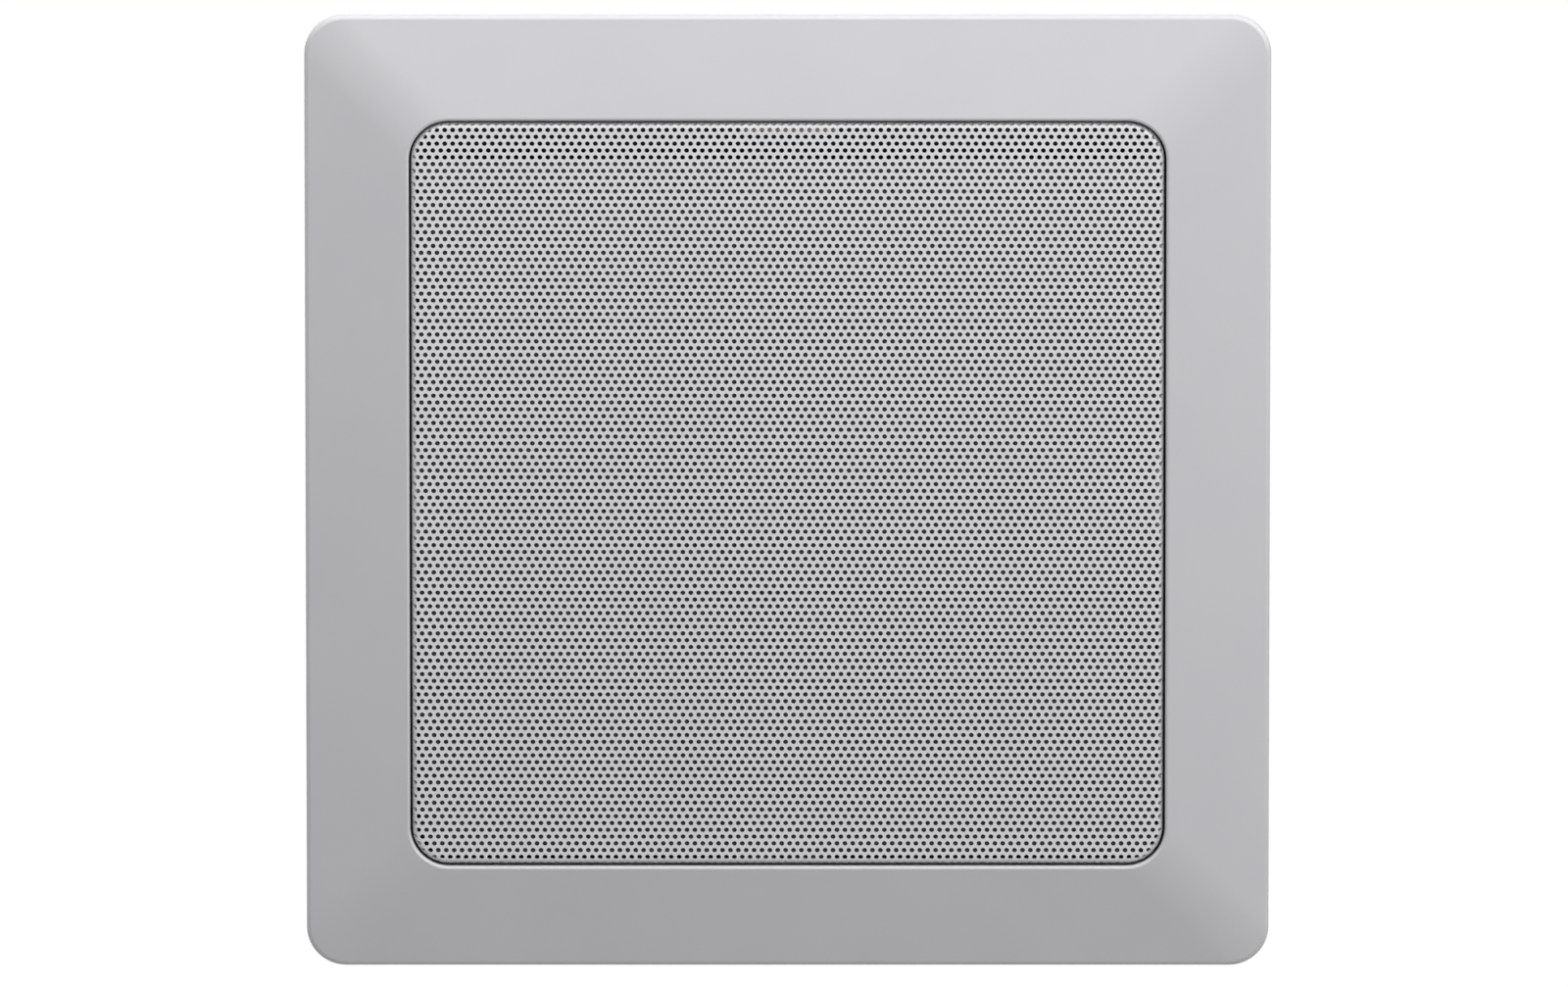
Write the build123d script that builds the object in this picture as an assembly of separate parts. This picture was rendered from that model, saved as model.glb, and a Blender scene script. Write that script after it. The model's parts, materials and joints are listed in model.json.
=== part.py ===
from build123d import *
from math import asin, cos, degrees, hypot, radians, sin
import os

os.makedirs("parts", exist_ok=True)

# A square in-wall loudspeaker. All sizes are in millimetres. The wall's surface is the plane Y = 0,
# the front looks towards -Y, the drivers reach back into the wall towards +Y, and Z is up.

# Bezel: the sloped silver frame round the grille
BEZEL_SIDE = 244.0
BEZEL_CORNER_R = 10.0
OPENING_MARGIN = 12.6
OPENING_CORNER_R = 10.0
RIM_HEIGHT = 2.0
LIP_HEIGHT = 6.6
BEZEL_WALL = 2.6
RIM_EDGE_R = 1.4
LIP_EDGE_R = 0.7
BEZEL_RIB_T = 1.6
BEZEL_RIB_SPREAD = 90.0
BEZEL_RIB_COUNT = 4
BEZEL_RIB_SHORT = 0.8

# Grille: perforated steel tray with its edges bent back
GRILLE_GAP = 0.6
GRILLE_RECESS = 0.8
GRILLE_SHEET = 0.8
GRILLE_BEND_R = 1.4
HOLE_PITCH = 18.5
HOLE_SHARE = 0.575
HOLE_MARGIN = 3.0

# Scrim: dark cloth behind the perforations, cut short at the top
SCRIM_T = 0.4
SCRIM_MARGIN = 1.2
SCRIM_TOP_SHORT = 8.6

# Grille magnets: bars let into the ledge of the baffle
MAGNET_LENGTH = 24.0
MAGNET_WIDTH = 3.3
MAGNET_T = 2.0
MAGNET_EDGE_GAP = 0.2
MAGNET_STEP_GAP = 0.4

# Baffle: the black chassis that passes through the hole in the wall
LEDGE_T = 3.0
PLATE_SINK = 6.0
PLATE_T = 3.0
STEP_T = 2.4
SKIRT_T = 2.0
SKIRT_DEPTH = 10.0
BAFFLE_CORNER_R = 8.0
CORNER_RIB_T = 2.4
CORNER_RIB_DEPTH = 4.0
CORNER_RIB_CLEARANCE = 2.0

# Screws that join the bezel to the baffle
BEZEL_BOSS_R = 3.2
BEZEL_BOSS_SPREAD = 60.0
BEZEL_BOSS_SINK = 0.2
SMALL_SCREW_R = 1.45
SMALL_HEAD_R = 2.75
SMALL_HEAD_H = 2.0
SMALL_HEAD_CLEARANCE = 0.3
SCREW_TIP_CLEARANCE = 0.3
SCREW_CLEARANCE = 0.1
SCREW_SLOT_W = 0.7
HEAD_ROUND_SHARE = 0.4
SLOT_LENGTH_SHARE = 0.62
SLOT_DEPTH_SHARE = 0.45

# Woofer: gasket, basket, surround, cone and motor
WOOFER_FLANGE_R = 83.0
WOOFER_LAND_W = 10.0
MOUTH_CLEARANCE = 1.5
GASKET_T = 2.5
GASKET_CLEARANCE = 0.3
BASKET_SHEET = 1.5
BASKET_DEPTH = 37.0
BASKET_EYE_GAP = 4.0
SHOULDER_DROP = 5.5
SHOULDER_IN = 2.0
SLANT_STEP = 0.6
SPIDER_LEDGE_DEPTH = 29.0
SPIDER_LEDGE_R = 44.5
SPIDER_LEDGE_W = 6.5
SPOKE_COUNT = 6
SPOKE_START = 15.0
WINDOW_ANGLE = 46.0
WINDOW_TOP_GAP = 6.0
WINDOW_BOTTOM_GAP = 3.0
WINDOW_CORNER_R = 3.0
WOOFER_SCREW_COUNT = 4
WOOFER_SCREW_START = 22.5
WOOFER_SCREW_EDGE = 4.0
WOOFER_SCREW_R = 1.9
WOOFER_HEAD_R = 3.4
WOOFER_HEAD_H = 2.4
WOOFER_BOSS_R = 4.0
WOOFER_BOSS_H = 3.5
WOOFER_BOSS_CAP = 0.8
SURROUND_T = 1.0
SURROUND_ROLL_R = 6.0
SURROUND_RIM_W = 4.5
CONE_T = 0.8
CONE_DEPTH = 24.5
CONE_COLLAR_H = 2.5
DUST_CAP_R = 21.0
DUST_CAP_RISE = 7.0
DUST_CAP_T = 0.6
COIL_INNER_R = 12.75
FORMER_T = 0.25
FORMER_END = 0.5
COIL_T = 0.6
COIL_HEIGHT = 12.0
COIL_GAP = 0.3
SPIDER_T = 0.5
SPIDER_WAVES = 5
SPIDER_WAVE_H = 1.2
SPIDER_FLAT_W = 2.0
SPIDER_EDGE = 1.5
SPIDER_LEDGE_CLEARANCE = 1.2
TOP_PLATE_R = 40.0
TOP_PLATE_T = 6.0
WOOFER_MAGNET_R = 45.0
WOOFER_MAGNET_BORE_R = 22.0
WOOFER_MAGNET_T = 15.0
WOOFER_MAGNET_EDGE = 0.8
YOKE_T = 6.0
YOKE_VENT_R = 4.0
YOKE_CHAMFER = 1.5

# Solder strip on one spoke of the basket
STRIP_ANGLE = 135.0
STRIP_LENGTH = 24.0
STRIP_WIDTH = 10.0
STRIP_T = 1.6
STRIP_SHARE = 0.38
PAD_LENGTH = 14.0
PAD_RISE = 0.8
TAG_SPREAD = 8.6
TAG_T = 0.5
TAG_WIDTH = 3.2
TAG_OUT = 7.0
TAG_IN = 3.0
TINSEL_R = 0.6
TINSEL_STUB = 5.0
TINSEL_RISE = 6.0
SOLDER_GAP = 0.05
GLUE_GAP = 0.1

# Tweeter and the bridge that carries it in front of the cone
BRIDGE_WIDTH = 12.0
BRIDGE_T = 3.6
SCRIM_CLEARANCE = 0.6
BRIDGE_SCREW_SINK = 1.5
FOOT_LENGTH = 11.0
FOOT_WIDTH = 16.0
FOOT_CLEARANCE = 2.0
FOOT_CORNER_R = 1.5
BRIDGE_GROOVE_W = 5.6
BRIDGE_GROOVE_DEPTH = 2.0
HUB_WALL = 2.7
HUB_DEPTH = 16.8
HUB_BACK_T = 2.0
HUB_BACK_HOLE_R = 9.0
CUP_R = 15.3
CUP_WALL = 2.1
CUP_BOTTOM_T = 3.0
CUP_CLEARANCE = 0.2
TWEETER_MAGNET_T = 5.0
POLE_PLATE_T = 3.0
POLE_PLATE_OVERHANG = 0.8
TWEETER_GAP_IN = 0.3
TWEETER_COIL_T = 0.4
TWEETER_COIL_H = 3.6
DOME_R = 12.5
DOME_RISE = 3.2
DOME_T = 0.3
DOME_ROLL_EDGE = 0.3
DOME_ROLL_SHARE = 0.45
FACEPLATE_R = 20.0
FACEPLATE_T = 1.4
FACEPLATE_SPIGOT = 2.1
THROAT_EDGE = 0.5
THROAT_FLARE = 1.2

# Crossover board and its parts, in the upper corner behind the baffle
BOARD_EDGE_GAP = 5.0
BOARD_SIDE = 42.0
BOARD_T = 1.6
BOARD_CORNER_R = 1.5
POST_HEIGHT = 7.0
POST_R = 3.2
POST_FLOOR = 0.5
POST_A = (5.0, 29.0)
POST_B = (27.0, 5.0)
POST_C = (BOARD_SIDE - 6.0, 26.5)
INDUCTOR_AT = (12.0, 12.0)
INDUCTOR_R = 10.0
INDUCTOR_H = 12.0
INDUCTOR_FLANGE_T = 1.2
INDUCTOR_HUB_R = 5.0
INDUCTOR_BORE_R = 2.5
INDUCTOR_WINDING_R = 9.2
CAPACITOR_AT = (BOARD_SIDE - 5.8, 12.5)
CAPACITOR_R = 5.0
CAPACITOR_LENGTH = 20.0
CAPACITOR_EDGE_R = 0.8
RESISTOR_AT = (12.5, 32.5)
RESISTOR_W = 6.0
RESISTOR_LENGTH = 16.0
RESISTOR_EDGE_R = 0.6

# Wire terminals: a block with two sprung levers
BLOCK_AT = (BOARD_SIDE - 13.0, BOARD_SIDE - 9.0)
BLOCK_W = 24.0
BLOCK_H = 16.0
BLOCK_D = 14.0
BLOCK_EDGE_R = 0.8
LEVER_SPREAD = 6.0
LEVER_W = 9.0
LEVER_T = 3.0
LEVER_LENGTH = 8.0
LEVER_TILT = 22.0
LEVER_SIDE_CLEARANCE = 0.3
LEVER_TOP_CLEARANCE = 0.3
LEVER_BACK_CLEARANCE = 0.4
LEVER_ROUND_SHARE = 0.3
LEVER_PIN_R = 1.0
LEVER_PIN_OVERHANG = 1.0
LEVER_PIN_CLEARANCE = 0.1
POCKET_DEPTH = 7.0
POCKET_EDGE = 1.4
POCKET_SILL = 0.8
WIRE_SLOT_W = 4.0
WIRE_SLOT_H = 2.6
WIRE_SLOT_EDGE = 1.0
WIRE_SLOT_DEPTH = 11.0

# Wall clamps: two on each side, each an arm on a threaded bush along its screw
CLAMP_FLANGE_GAP = 2.9
CLAMP_SCREW_R = 2.0
CLAMP_HEAD_R = 3.75
CLAMP_HEAD_H = 3.0
CLAMP_HEAD_EDGE = 1.1
CLAMP_HOLE_CLEARANCE = 0.15
CLAMP_BOSS_R = 5.0
CLAMP_BOSS_H = 2.0
CLAMP_SCREW_TIP = 2.0
TOWER_DEPTH = 40.0
TOWER_RIB_T = 3.0
TOWER_RIB_REACH = 17.0
TOWER_RIB_BACK = 3.0
TOWER_CAP_T = 3.0
TOWER_CAP_CORNER_R = 3.0
TOWER_CLEARANCE = 0.4
BUSH_R = 4.5
BUSH_LENGTH = 9.5
BUSH_BORE_CLEARANCE = 0.1
BUSH_FLANGE_R = 6.0
BUSH_FLANGE_T = 1.5
BUSH_END_GAP = 0.3
ARM_HUB_R = 6.5
ARM_BORE_CLEARANCE = 0.06
ARM_WIDTH = 10.0
ARM_T = 8.0
ARM_REACH = 37.0
ARM_WALL = 2.0
ARM_FLOOR = 2.5
ARM_HUB_WALL = 1.5
ARM_FLANGE_GAP = 0.6
ARM_FOOT_H = 1.2
ARM_FOOT_T = 1.6
ARM_FOOT_COUNT = 3
ARM_FOOT_PITCH = 4.0
ARM_FOOT_EDGE = 1.0

# Internal leads
LEAD_R = 0.8
LEAD_SPREAD = 1.4
LEAD_BEND_R = 2.5
LEAD_HOLE_CLEARANCE = 0.3
LEAD_HOLE_EDGE = 0.6
LEAD_END_EDGE = 2.5
WOOFER_LEAD_A = (3.0, 25.0)
WOOFER_LEAD_B = (22.5, 2.5)
TWEETER_LEAD_BEND_R = 1.2
TWEETER_LEAD_RISE = 6.0
WOOFER_LEAD_RISE = 8.0
WOOFER_LEAD_TAIL = 3.0
WOOFER_LEAD_LAP = 5.0

# Places worked out from the sizes above
BEZEL_HALF = BEZEL_SIDE / 2
OPENING_HALF = WOOFER_FLANGE_R + OPENING_MARGIN
OPENING_SIDE = 2 * OPENING_HALF
BAND = BEZEL_HALF - OPENING_HALF
SLOPE = (LIP_HEIGHT - RIM_HEIGHT) / BAND
ROOF_DROP = BEZEL_WALL * hypot(1, SLOPE)
BOSS_LINE = OPENING_HALF + BEZEL_WALL + BEZEL_BOSS_R - BEZEL_BOSS_SINK
BAFFLE_HALF = BOSS_LINE + SMALL_HEAD_R + SMALL_HEAD_CLEARANCE + SKIRT_T
GRILLE_HALF = OPENING_HALF - GRILLE_GAP
GRILLE_FRONT = GRILLE_RECESS - LIP_HEIGHT
SCRIM_BACK = GRILLE_FRONT + GRILLE_SHEET + SCRIM_T
BRIDGE_FRONT = SCRIM_BACK + SCRIM_CLEARANCE + FACEPLATE_T
MAGNET_LINE = GRILLE_HALF - MAGNET_EDGE_GAP - MAGNET_WIDTH / 2
STEP_OUTER_HALF = MAGNET_LINE - MAGNET_WIDTH / 2 - MAGNET_STEP_GAP
STEP_INNER_HALF = STEP_OUTER_HALF - STEP_T
PLATE_BACK = PLATE_SINK + PLATE_T
FLANGE_FRONT = PLATE_BACK + GASKET_T
FLANGE_BACK = FLANGE_FRONT + BASKET_SHEET
WOOFER_MOUTH_R = WOOFER_FLANGE_R - WOOFER_LAND_W
WOOFER_SCREW_RING_R = WOOFER_FLANGE_R - WOOFER_SCREW_EDGE
ROLL_OUTER_R = WOOFER_MOUTH_R - MOUTH_CLEARANCE
ROLL_CENTRE_R = ROLL_OUTER_R - SURROUND_ROLL_R
ROLL_INNER_R = ROLL_CENTRE_R - SURROUND_ROLL_R
CONE_EDGE_R = ROLL_INNER_R + SURROUND_T
CONE_RIM_R = CONE_EDGE_R - SURROUND_RIM_W
FORMER_R = COIL_INNER_R + FORMER_T
CONE_NECK_R = FORMER_R + CONE_T
CONE_NECK_Y = FLANGE_FRONT + CONE_DEPTH
SPIDER_Y = FLANGE_FRONT + SPIDER_LEDGE_DEPTH
TOP_PLATE_FRONT = FLANGE_FRONT + BASKET_DEPTH
TOP_PLATE_BACK = TOP_PLATE_FRONT + TOP_PLATE_T
MAGNET_BACK = TOP_PLATE_BACK + WOOFER_MAGNET_T
COIL_MIDDLE = TOP_PLATE_FRONT + TOP_PLATE_T / 2
COIL_OUTER_R = FORMER_R + COIL_T
FOOT_INNER = WOOFER_MOUTH_R + FOOT_CLEARANCE
FOOT_MIDDLE = FOOT_INNER + FOOT_LENGTH / 2
BRIDGE_BACK = BRIDGE_FRONT + BRIDGE_T
HUB_BORE_R = CUP_R + CUP_CLEARANCE
HUB_R = HUB_BORE_R + HUB_WALL
HUB_END = BRIDGE_FRONT + HUB_DEPTH
CUP_END = HUB_END - HUB_BACK_T
DOME_Y = BRIDGE_FRONT + FACEPLATE_SPIGOT
CUP_FRONT = DOME_Y + DOME_T
POLE_PLATE_R = DOME_R - TWEETER_COIL_T / 2 - TWEETER_GAP_IN
BOARD_INNER = BAFFLE_HALF - SKIRT_T - BOARD_EDGE_GAP - BOARD_SIDE
BOARD_FRONT = PLATE_BACK + POST_HEIGHT
BOARD_BACK = BOARD_FRONT + BOARD_T
BLOCK_BACK = BOARD_BACK + BLOCK_D
CLAMP_X = STEP_INNER_HALF - CLAMP_HEAD_R - CLAMP_HEAD_EDGE
CLAMP_RING_R = WOOFER_FLANGE_R + CLAMP_BOSS_R + CLAMP_FLANGE_GAP
FLANGE_FLAT = CLAMP_X - ARM_WIDTH / 2 - ARM_FLANGE_GAP
CLAMP_Z = (CLAMP_RING_R ** 2 - CLAMP_X ** 2) ** 0.5
TOWER_CAP_FRONT = PLATE_BACK + TOWER_DEPTH - TOWER_CAP_T
BUSH_BACK = TOWER_CAP_FRONT - BUSH_END_GAP
ARM_BACK = BUSH_BACK - BUSH_FLANGE_T
ARM_FRONT = ARM_BACK - ARM_T


def square_at(y, side, radius):
    return Plane.XZ.offset(-y) * RectangleRounded(side, side, radius)


def slab(side, radius, front, back):
    # a rounded square plate parallel to the wall
    return extrude(square_at(back, side, radius), amount=back - front)


def rod(x, z, radius, front, back):
    # a round bar square to the wall
    return Pos(x, (front + back) / 2, z) * Rot(90, 0, 0) * Cylinder(radius, back - front)


def block(x0, x1, y0, y1, z0, z1):
    return Pos((x0 + x1) / 2, (y0 + y1) / 2, (z0 + z1) / 2) * Box(x1 - x0, y1 - y0, z1 - z0)


def turned(points):
    # a body of revolution about the Y axis from a closed outline of (radius, y) points
    return revolve(make_face(Polyline(*points, close=True)), axis=Axis.Y)


def turned_curves(edges):
    return revolve(make_face(Wire(edges)), axis=Axis.Y)


def on_ring(radius, count, start):
    # places on a circle round the woofer's axis, as (x, z)
    steps = [radians(start + 360 * index / count) for index in range(count)]
    return [(radius * cos(angle), radius * sin(angle)) for angle in steps]


def polar(radius, y, side_step, angle):
    # a point at a radius and depth, moved sideways along the tangent
    a = radians(angle)
    return (radius * cos(a) - side_step * sin(a), y, radius * sin(a) + side_step * cos(a))


def pan_screw(x, z, seat, tip, shank_r, head_r, head_h):
    # a pan head screw whose head rests on the seat plane; the slot crosses the head
    outward = 1 if seat > tip else -1
    head_end = seat + outward * head_h
    head = rod(x, z, head_r, min(seat, head_end), max(seat, head_end))
    rim = head.faces().sort_by(Axis.Y)[-1 if outward > 0 else 0].edges()
    head = fillet(rim, head_h * HEAD_ROUND_SHARE)
    slot_y = sorted((head_end - outward * head_h * SLOT_DEPTH_SHARE, head_end + outward))
    reach, half = head_r * SLOT_LENGTH_SHARE, SCREW_SLOT_W / 2
    head -= block(x - reach, x + reach, *slot_y, z - half, z + half)
    head -= block(x - half, x + half, *slot_y, z - reach, z + reach)
    return head + rod(x, z, shank_r, min(seat, tip), max(seat, tip))


def lead(points, radius, bend):
    path = FilletPolyline(*points, radius=bend)
    start = Plane(origin=path @ 0, z_dir=path % 0)
    return sweep(start * Circle(radius), path=path)


def roof_height(distance):
    # height of the hollow's roof above the wall, at a distance in from the bezel's outer edge
    return RIM_HEIGHT + SLOPE * distance - ROOF_DROP


def boss_height():
    return roof_height(BEZEL_HALF - BOSS_LINE)


def bezel_boss_places():
    places = []
    for along in (-BEZEL_BOSS_SPREAD, BEZEL_BOSS_SPREAD):
        places += [(along, BOSS_LINE), (along, -BOSS_LINE), (BOSS_LINE, along), (-BOSS_LINE, along)]
    return places


def make_bezel():
    body = slab(BEZEL_SIDE, BEZEL_CORNER_R, -RIM_HEIGHT, 0)
    low = square_at(-RIM_HEIGHT, BEZEL_SIDE, BEZEL_CORNER_R)
    high = square_at(-LIP_HEIGHT, OPENING_SIDE, OPENING_CORNER_R)
    body += loft([low, high], ruled=True)
    body -= slab(OPENING_SIDE, OPENING_CORNER_R, -LIP_HEIGHT - 1, 1)
    outer_edge = [e for e in body.edges() if abs(e.center().Y + RIM_HEIGHT) < 1e-3]
    body = fillet(outer_edge, RIM_EDGE_R)
    lip_edge = [e for e in body.edges() if abs(e.center().Y + LIP_HEIGHT) < 1e-3]
    body = fillet(lip_edge, LIP_EDGE_R)
    # the back is hollow: a roof parallel to the sloped face, an outer rim and an inner wall
    start = (ROOF_DROP - RIM_HEIGHT - 1) / SLOPE
    roof_end = roof_height(BAND - BEZEL_WALL)
    inner_side = OPENING_SIDE + 2 * BEZEL_WALL
    inner_r = OPENING_CORNER_R + BEZEL_WALL
    wide = square_at(1, BEZEL_SIDE - 2 * start, BEZEL_CORNER_R)
    narrow = square_at(-roof_end, inner_side, OPENING_CORNER_R)
    hollow = loft([wide, narrow], ruled=True)
    hollow &= slab(BEZEL_SIDE - 2 * BEZEL_WALL, BEZEL_CORNER_R - BEZEL_WALL, -LIP_HEIGHT, 0)
    hollow -= slab(inner_side, inner_r, -LIP_HEIGHT, 1)
    body -= hollow
    for turn in range(4):
        for step in range(BEZEL_RIB_COUNT):
            x = BEZEL_RIB_SPREAD * (2 * step / (BEZEL_RIB_COUNT - 1) - 1)
            half = BEZEL_RIB_T / 2
            rib = block(x - half, x + half, -LIP_HEIGHT, -BEZEL_RIB_SHORT, OPENING_HALF, BEZEL_HALF)
            body += hollow & (Rot(0, 90 * turn, 0) * rib)
    for x, z in bezel_boss_places():
        body += hollow & rod(x, z, BEZEL_BOSS_R, -LIP_HEIGHT, 0)
        body -= rod(x, z, SMALL_SCREW_R + SCREW_CLEARANCE, -boss_height() - SCREW_TIP_CLEARANCE, 1)
    return body


def hole_places():
    # staggered rows that fill the flat of the grille
    reach = GRILLE_HALF - GRILLE_BEND_R - HOLE_MARGIN - HOLE_PITCH * HOLE_SHARE / 2
    row_pitch = HOLE_PITCH * 0.75 ** 0.5
    rows = int(2 * reach / row_pitch) + 1
    columns = int(2 * reach / HOLE_PITCH) + 1
    places = []
    for row in range(rows):
        z = (row - (rows - 1) / 2) * row_pitch
        count = columns - row % 2
        places += [((col - (count - 1) / 2) * HOLE_PITCH, z) for col in range(count)]
    return places


def make_grille():
    corner = OPENING_CORNER_R - GRILLE_GAP
    tray = slab(2 * GRILLE_HALF, corner, GRILLE_FRONT, 0)
    tray = fillet(tray.faces().sort_by(Axis.Y)[0].edges(), GRILLE_BEND_R)
    inner = slab(2 * (GRILLE_HALF - GRILLE_SHEET), corner - GRILLE_SHEET, GRILLE_FRONT + GRILLE_SHEET, 1)
    inner = fillet(inner.faces().sort_by(Axis.Y)[0].edges(), GRILLE_BEND_R - GRILLE_SHEET)
    tray -= inner
    holes = Sketch() + [Pos(x, z) * Circle(HOLE_PITCH * HOLE_SHARE / 2) for x, z in hole_places()]
    tray -= extrude(Plane.XZ.offset(-GRILLE_FRONT - 2 * GRILLE_SHEET) * holes, amount=4 * GRILLE_SHEET)
    return tray


def make_scrim():
    reach = GRILLE_HALF - GRILLE_SHEET - SCRIM_MARGIN
    front = GRILLE_FRONT + GRILLE_SHEET
    cloth = slab(2 * reach, OPENING_CORNER_R - GRILLE_GAP - SCRIM_MARGIN, front, front + SCRIM_T)
    top = OPENING_HALF - SCRIM_TOP_SHORT
    return cloth - block(-BEZEL_HALF, BEZEL_HALF, -LIP_HEIGHT, 1, top, BEZEL_HALF)


def magnet_bars():
    bar = block(-MAGNET_LENGTH / 2, MAGNET_LENGTH / 2, 0, MAGNET_T,
                MAGNET_LINE - MAGNET_WIDTH / 2, MAGNET_LINE + MAGNET_WIDTH / 2)
    return [Rot(0, 90 * turn, 0) * bar for turn in range(4)]


def board_point(place):
    # a place on the crossover board, counted from its inner lower corner
    return -BOARD_INNER - place[0], BOARD_INNER + place[1]


def clamp_places():
    # each clamp's place and the turn of its arm; the arms of one side point up, of the other down
    return {
        "top_right": (CLAMP_X, CLAMP_Z, 0),
        "bottom_right": (CLAMP_X, -CLAMP_Z, 0),
        "top_left": (-CLAMP_X, CLAMP_Z, 180),
        "bottom_left": (-CLAMP_X, -CLAMP_Z, 180),
    }


def clamp_tower():
    # a stop rib beside the screw and a cap that steadies the screw's tip, on the screw's own axis
    rib_top = -ARM_HUB_R - TOWER_CLEARANCE
    end = PLATE_BACK + TOWER_DEPTH
    rib_low = rib_top - TOWER_RIB_T
    tower = block(-TOWER_RIB_BACK, TOWER_RIB_REACH, PLATE_BACK - PLATE_T / 2, end, rib_low, rib_top)
    tower -= block(STEP_OUTER_HALF - CLAMP_X, TOWER_RIB_REACH + 1, 0, PLATE_BACK, -4 * ARM_HUB_R, 0)
    cap = block(-ARM_HUB_R, ARM_HUB_R, TOWER_CAP_FRONT, end, rib_low, ARM_HUB_R)
    cap = fillet(cap.edges().filter_by(Axis.Y).group_by(Axis.Z)[-1], TOWER_CAP_CORNER_R)
    tower += cap
    return tower - rod(0, 0, CLAMP_SCREW_R + CLAMP_HOLE_CLEARANCE, TOWER_CAP_FRONT - 1, end + 1)


def make_baffle():
    body = slab(2 * BAFFLE_HALF, BAFFLE_CORNER_R, 0, LEDGE_T)
    body += slab(2 * STEP_OUTER_HALF, BAFFLE_CORNER_R, 0, PLATE_BACK)
    body -= slab(2 * STEP_INNER_HALF, BAFFLE_CORNER_R - STEP_T, -1, PLATE_SINK)
    skirt = slab(2 * BAFFLE_HALF, BAFFLE_CORNER_R, 0, SKIRT_DEPTH)
    body += skirt - slab(2 * (BAFFLE_HALF - SKIRT_T), BAFFLE_CORNER_R - SKIRT_T, -1, SKIRT_DEPTH + 1)
    body -= rod(0, 0, WOOFER_MOUTH_R, 0, PLATE_BACK + 1)
    for bar in magnet_bars():
        body -= bar
    for x, z in bezel_boss_places():
        body -= rod(x, z, SMALL_SCREW_R + SCREW_CLEARANCE, -1, LEDGE_T + 1)
    for x, z in woofer_screw_places():
        body += rod(x, z, WOOFER_BOSS_R, PLATE_SINK - WOOFER_BOSS_H, PLATE_SINK)
        body -= rod(x, z, WOOFER_SCREW_R + SCREW_CLEARANCE, woofer_hole_end(), PLATE_BACK + 1)
    for z in (-FOOT_MIDDLE, FOOT_MIDDLE):
        body -= rod(0, z, SMALL_SCREW_R + SCREW_CLEARANCE, 0, PLATE_BACK - SCREW_CLEARANCE)
    for side in (-LEAD_SPREAD, LEAD_SPREAD):
        body -= rod(side, lead_hole_z(), LEAD_R + LEAD_HOLE_CLEARANCE, 0, PLATE_BACK + 1)
    # ribs across the free corners, behind the step
    rib_in = WOOFER_FLANGE_R + CORNER_RIB_CLEARANCE
    rib_out = 2 ** 0.5 * (BAFFLE_HALF - SKIRT_T)
    rib = block(rib_in, rib_out, LEDGE_T, PLATE_BACK + CORNER_RIB_DEPTH, -CORNER_RIB_T / 2, CORNER_RIB_T / 2)
    rib -= slab(2 * STEP_OUTER_HALF, BAFFLE_CORNER_R, 0, PLATE_BACK)
    rim = slab(2 * BAFFLE_HALF, BAFFLE_CORNER_R, 0, PLATE_BACK + CORNER_RIB_DEPTH)
    for angle in (45, 225, 315):
        body += (Rot(0, -angle, 0) * rib) & rim
    for place in (POST_A, POST_B, POST_C):
        x, z = board_point(place)
        foot_y = PLATE_BACK if max(-x, z) + POST_R < STEP_OUTER_HALF else LEDGE_T
        body += rod(x, z, POST_R, foot_y, BOARD_FRONT)
    for place in (POST_A, POST_B):
        x, z = board_point(place)
        body -= rod(x, z, SMALL_SCREW_R + SCREW_CLEARANCE, PLATE_BACK + POST_FLOOR, BOARD_FRONT + 1)
    for x, z, turn in clamp_places().values():
        body += rod(x, z, CLAMP_BOSS_R, PLATE_BACK, PLATE_BACK + CLAMP_BOSS_H)
        body += Pos(x, 0, z) * Rot(0, turn, 0) * clamp_tower()
        body -= rod(x, z, CLAMP_SCREW_R + CLAMP_HOLE_CLEARANCE, PLATE_SINK - 1, PLATE_BACK + CLAMP_BOSS_H + 1)
    return body


def make_bezel_screws():
    return [pan_screw(x, z, LEDGE_T, -boss_height(), SMALL_SCREW_R, SMALL_HEAD_R, SMALL_HEAD_H)
            for x, z in bezel_boss_places()]


def woofer_screw_places():
    return on_ring(WOOFER_SCREW_RING_R, WOOFER_SCREW_COUNT, WOOFER_SCREW_START)


def woofer_hole_end():
    # the blind end of the woofer's screw holes, in the bosses on the front of the plate
    return PLATE_SINK - WOOFER_BOSS_H + WOOFER_BOSS_CAP


def make_woofer_screws():
    tip = woofer_hole_end() + SCREW_TIP_CLEARANCE
    return [pan_screw(x, z, FLANGE_BACK, tip, WOOFER_SCREW_R, WOOFER_HEAD_R, WOOFER_HEAD_H)
            for x, z in woofer_screw_places()]


def beside_flats(front, back):
    # what lies beyond the two flats of the woofer's flange, where the parked clamp arms pass
    reach = WOOFER_FLANGE_R
    over = block(FLANGE_FLAT, reach + 1, front, back, -reach, reach)
    return [over, Rot(0, 180, 0) * over]


def make_gasket():
    inner = ROLL_OUTER_R + SURROUND_RIM_W + GASKET_CLEARANCE
    ring = rod(0, 0, WOOFER_FLANGE_R, PLATE_BACK, FLANGE_FRONT) - rod(0, 0, inner, 0, FLANGE_BACK)
    for x, z in woofer_screw_places():
        ring -= rod(x, z, WOOFER_SCREW_R + SCREW_CLEARANCE, 0, FLANGE_BACK)
    for over in beside_flats(PLATE_BACK, FLANGE_FRONT):
        ring -= over
    return ring


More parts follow.
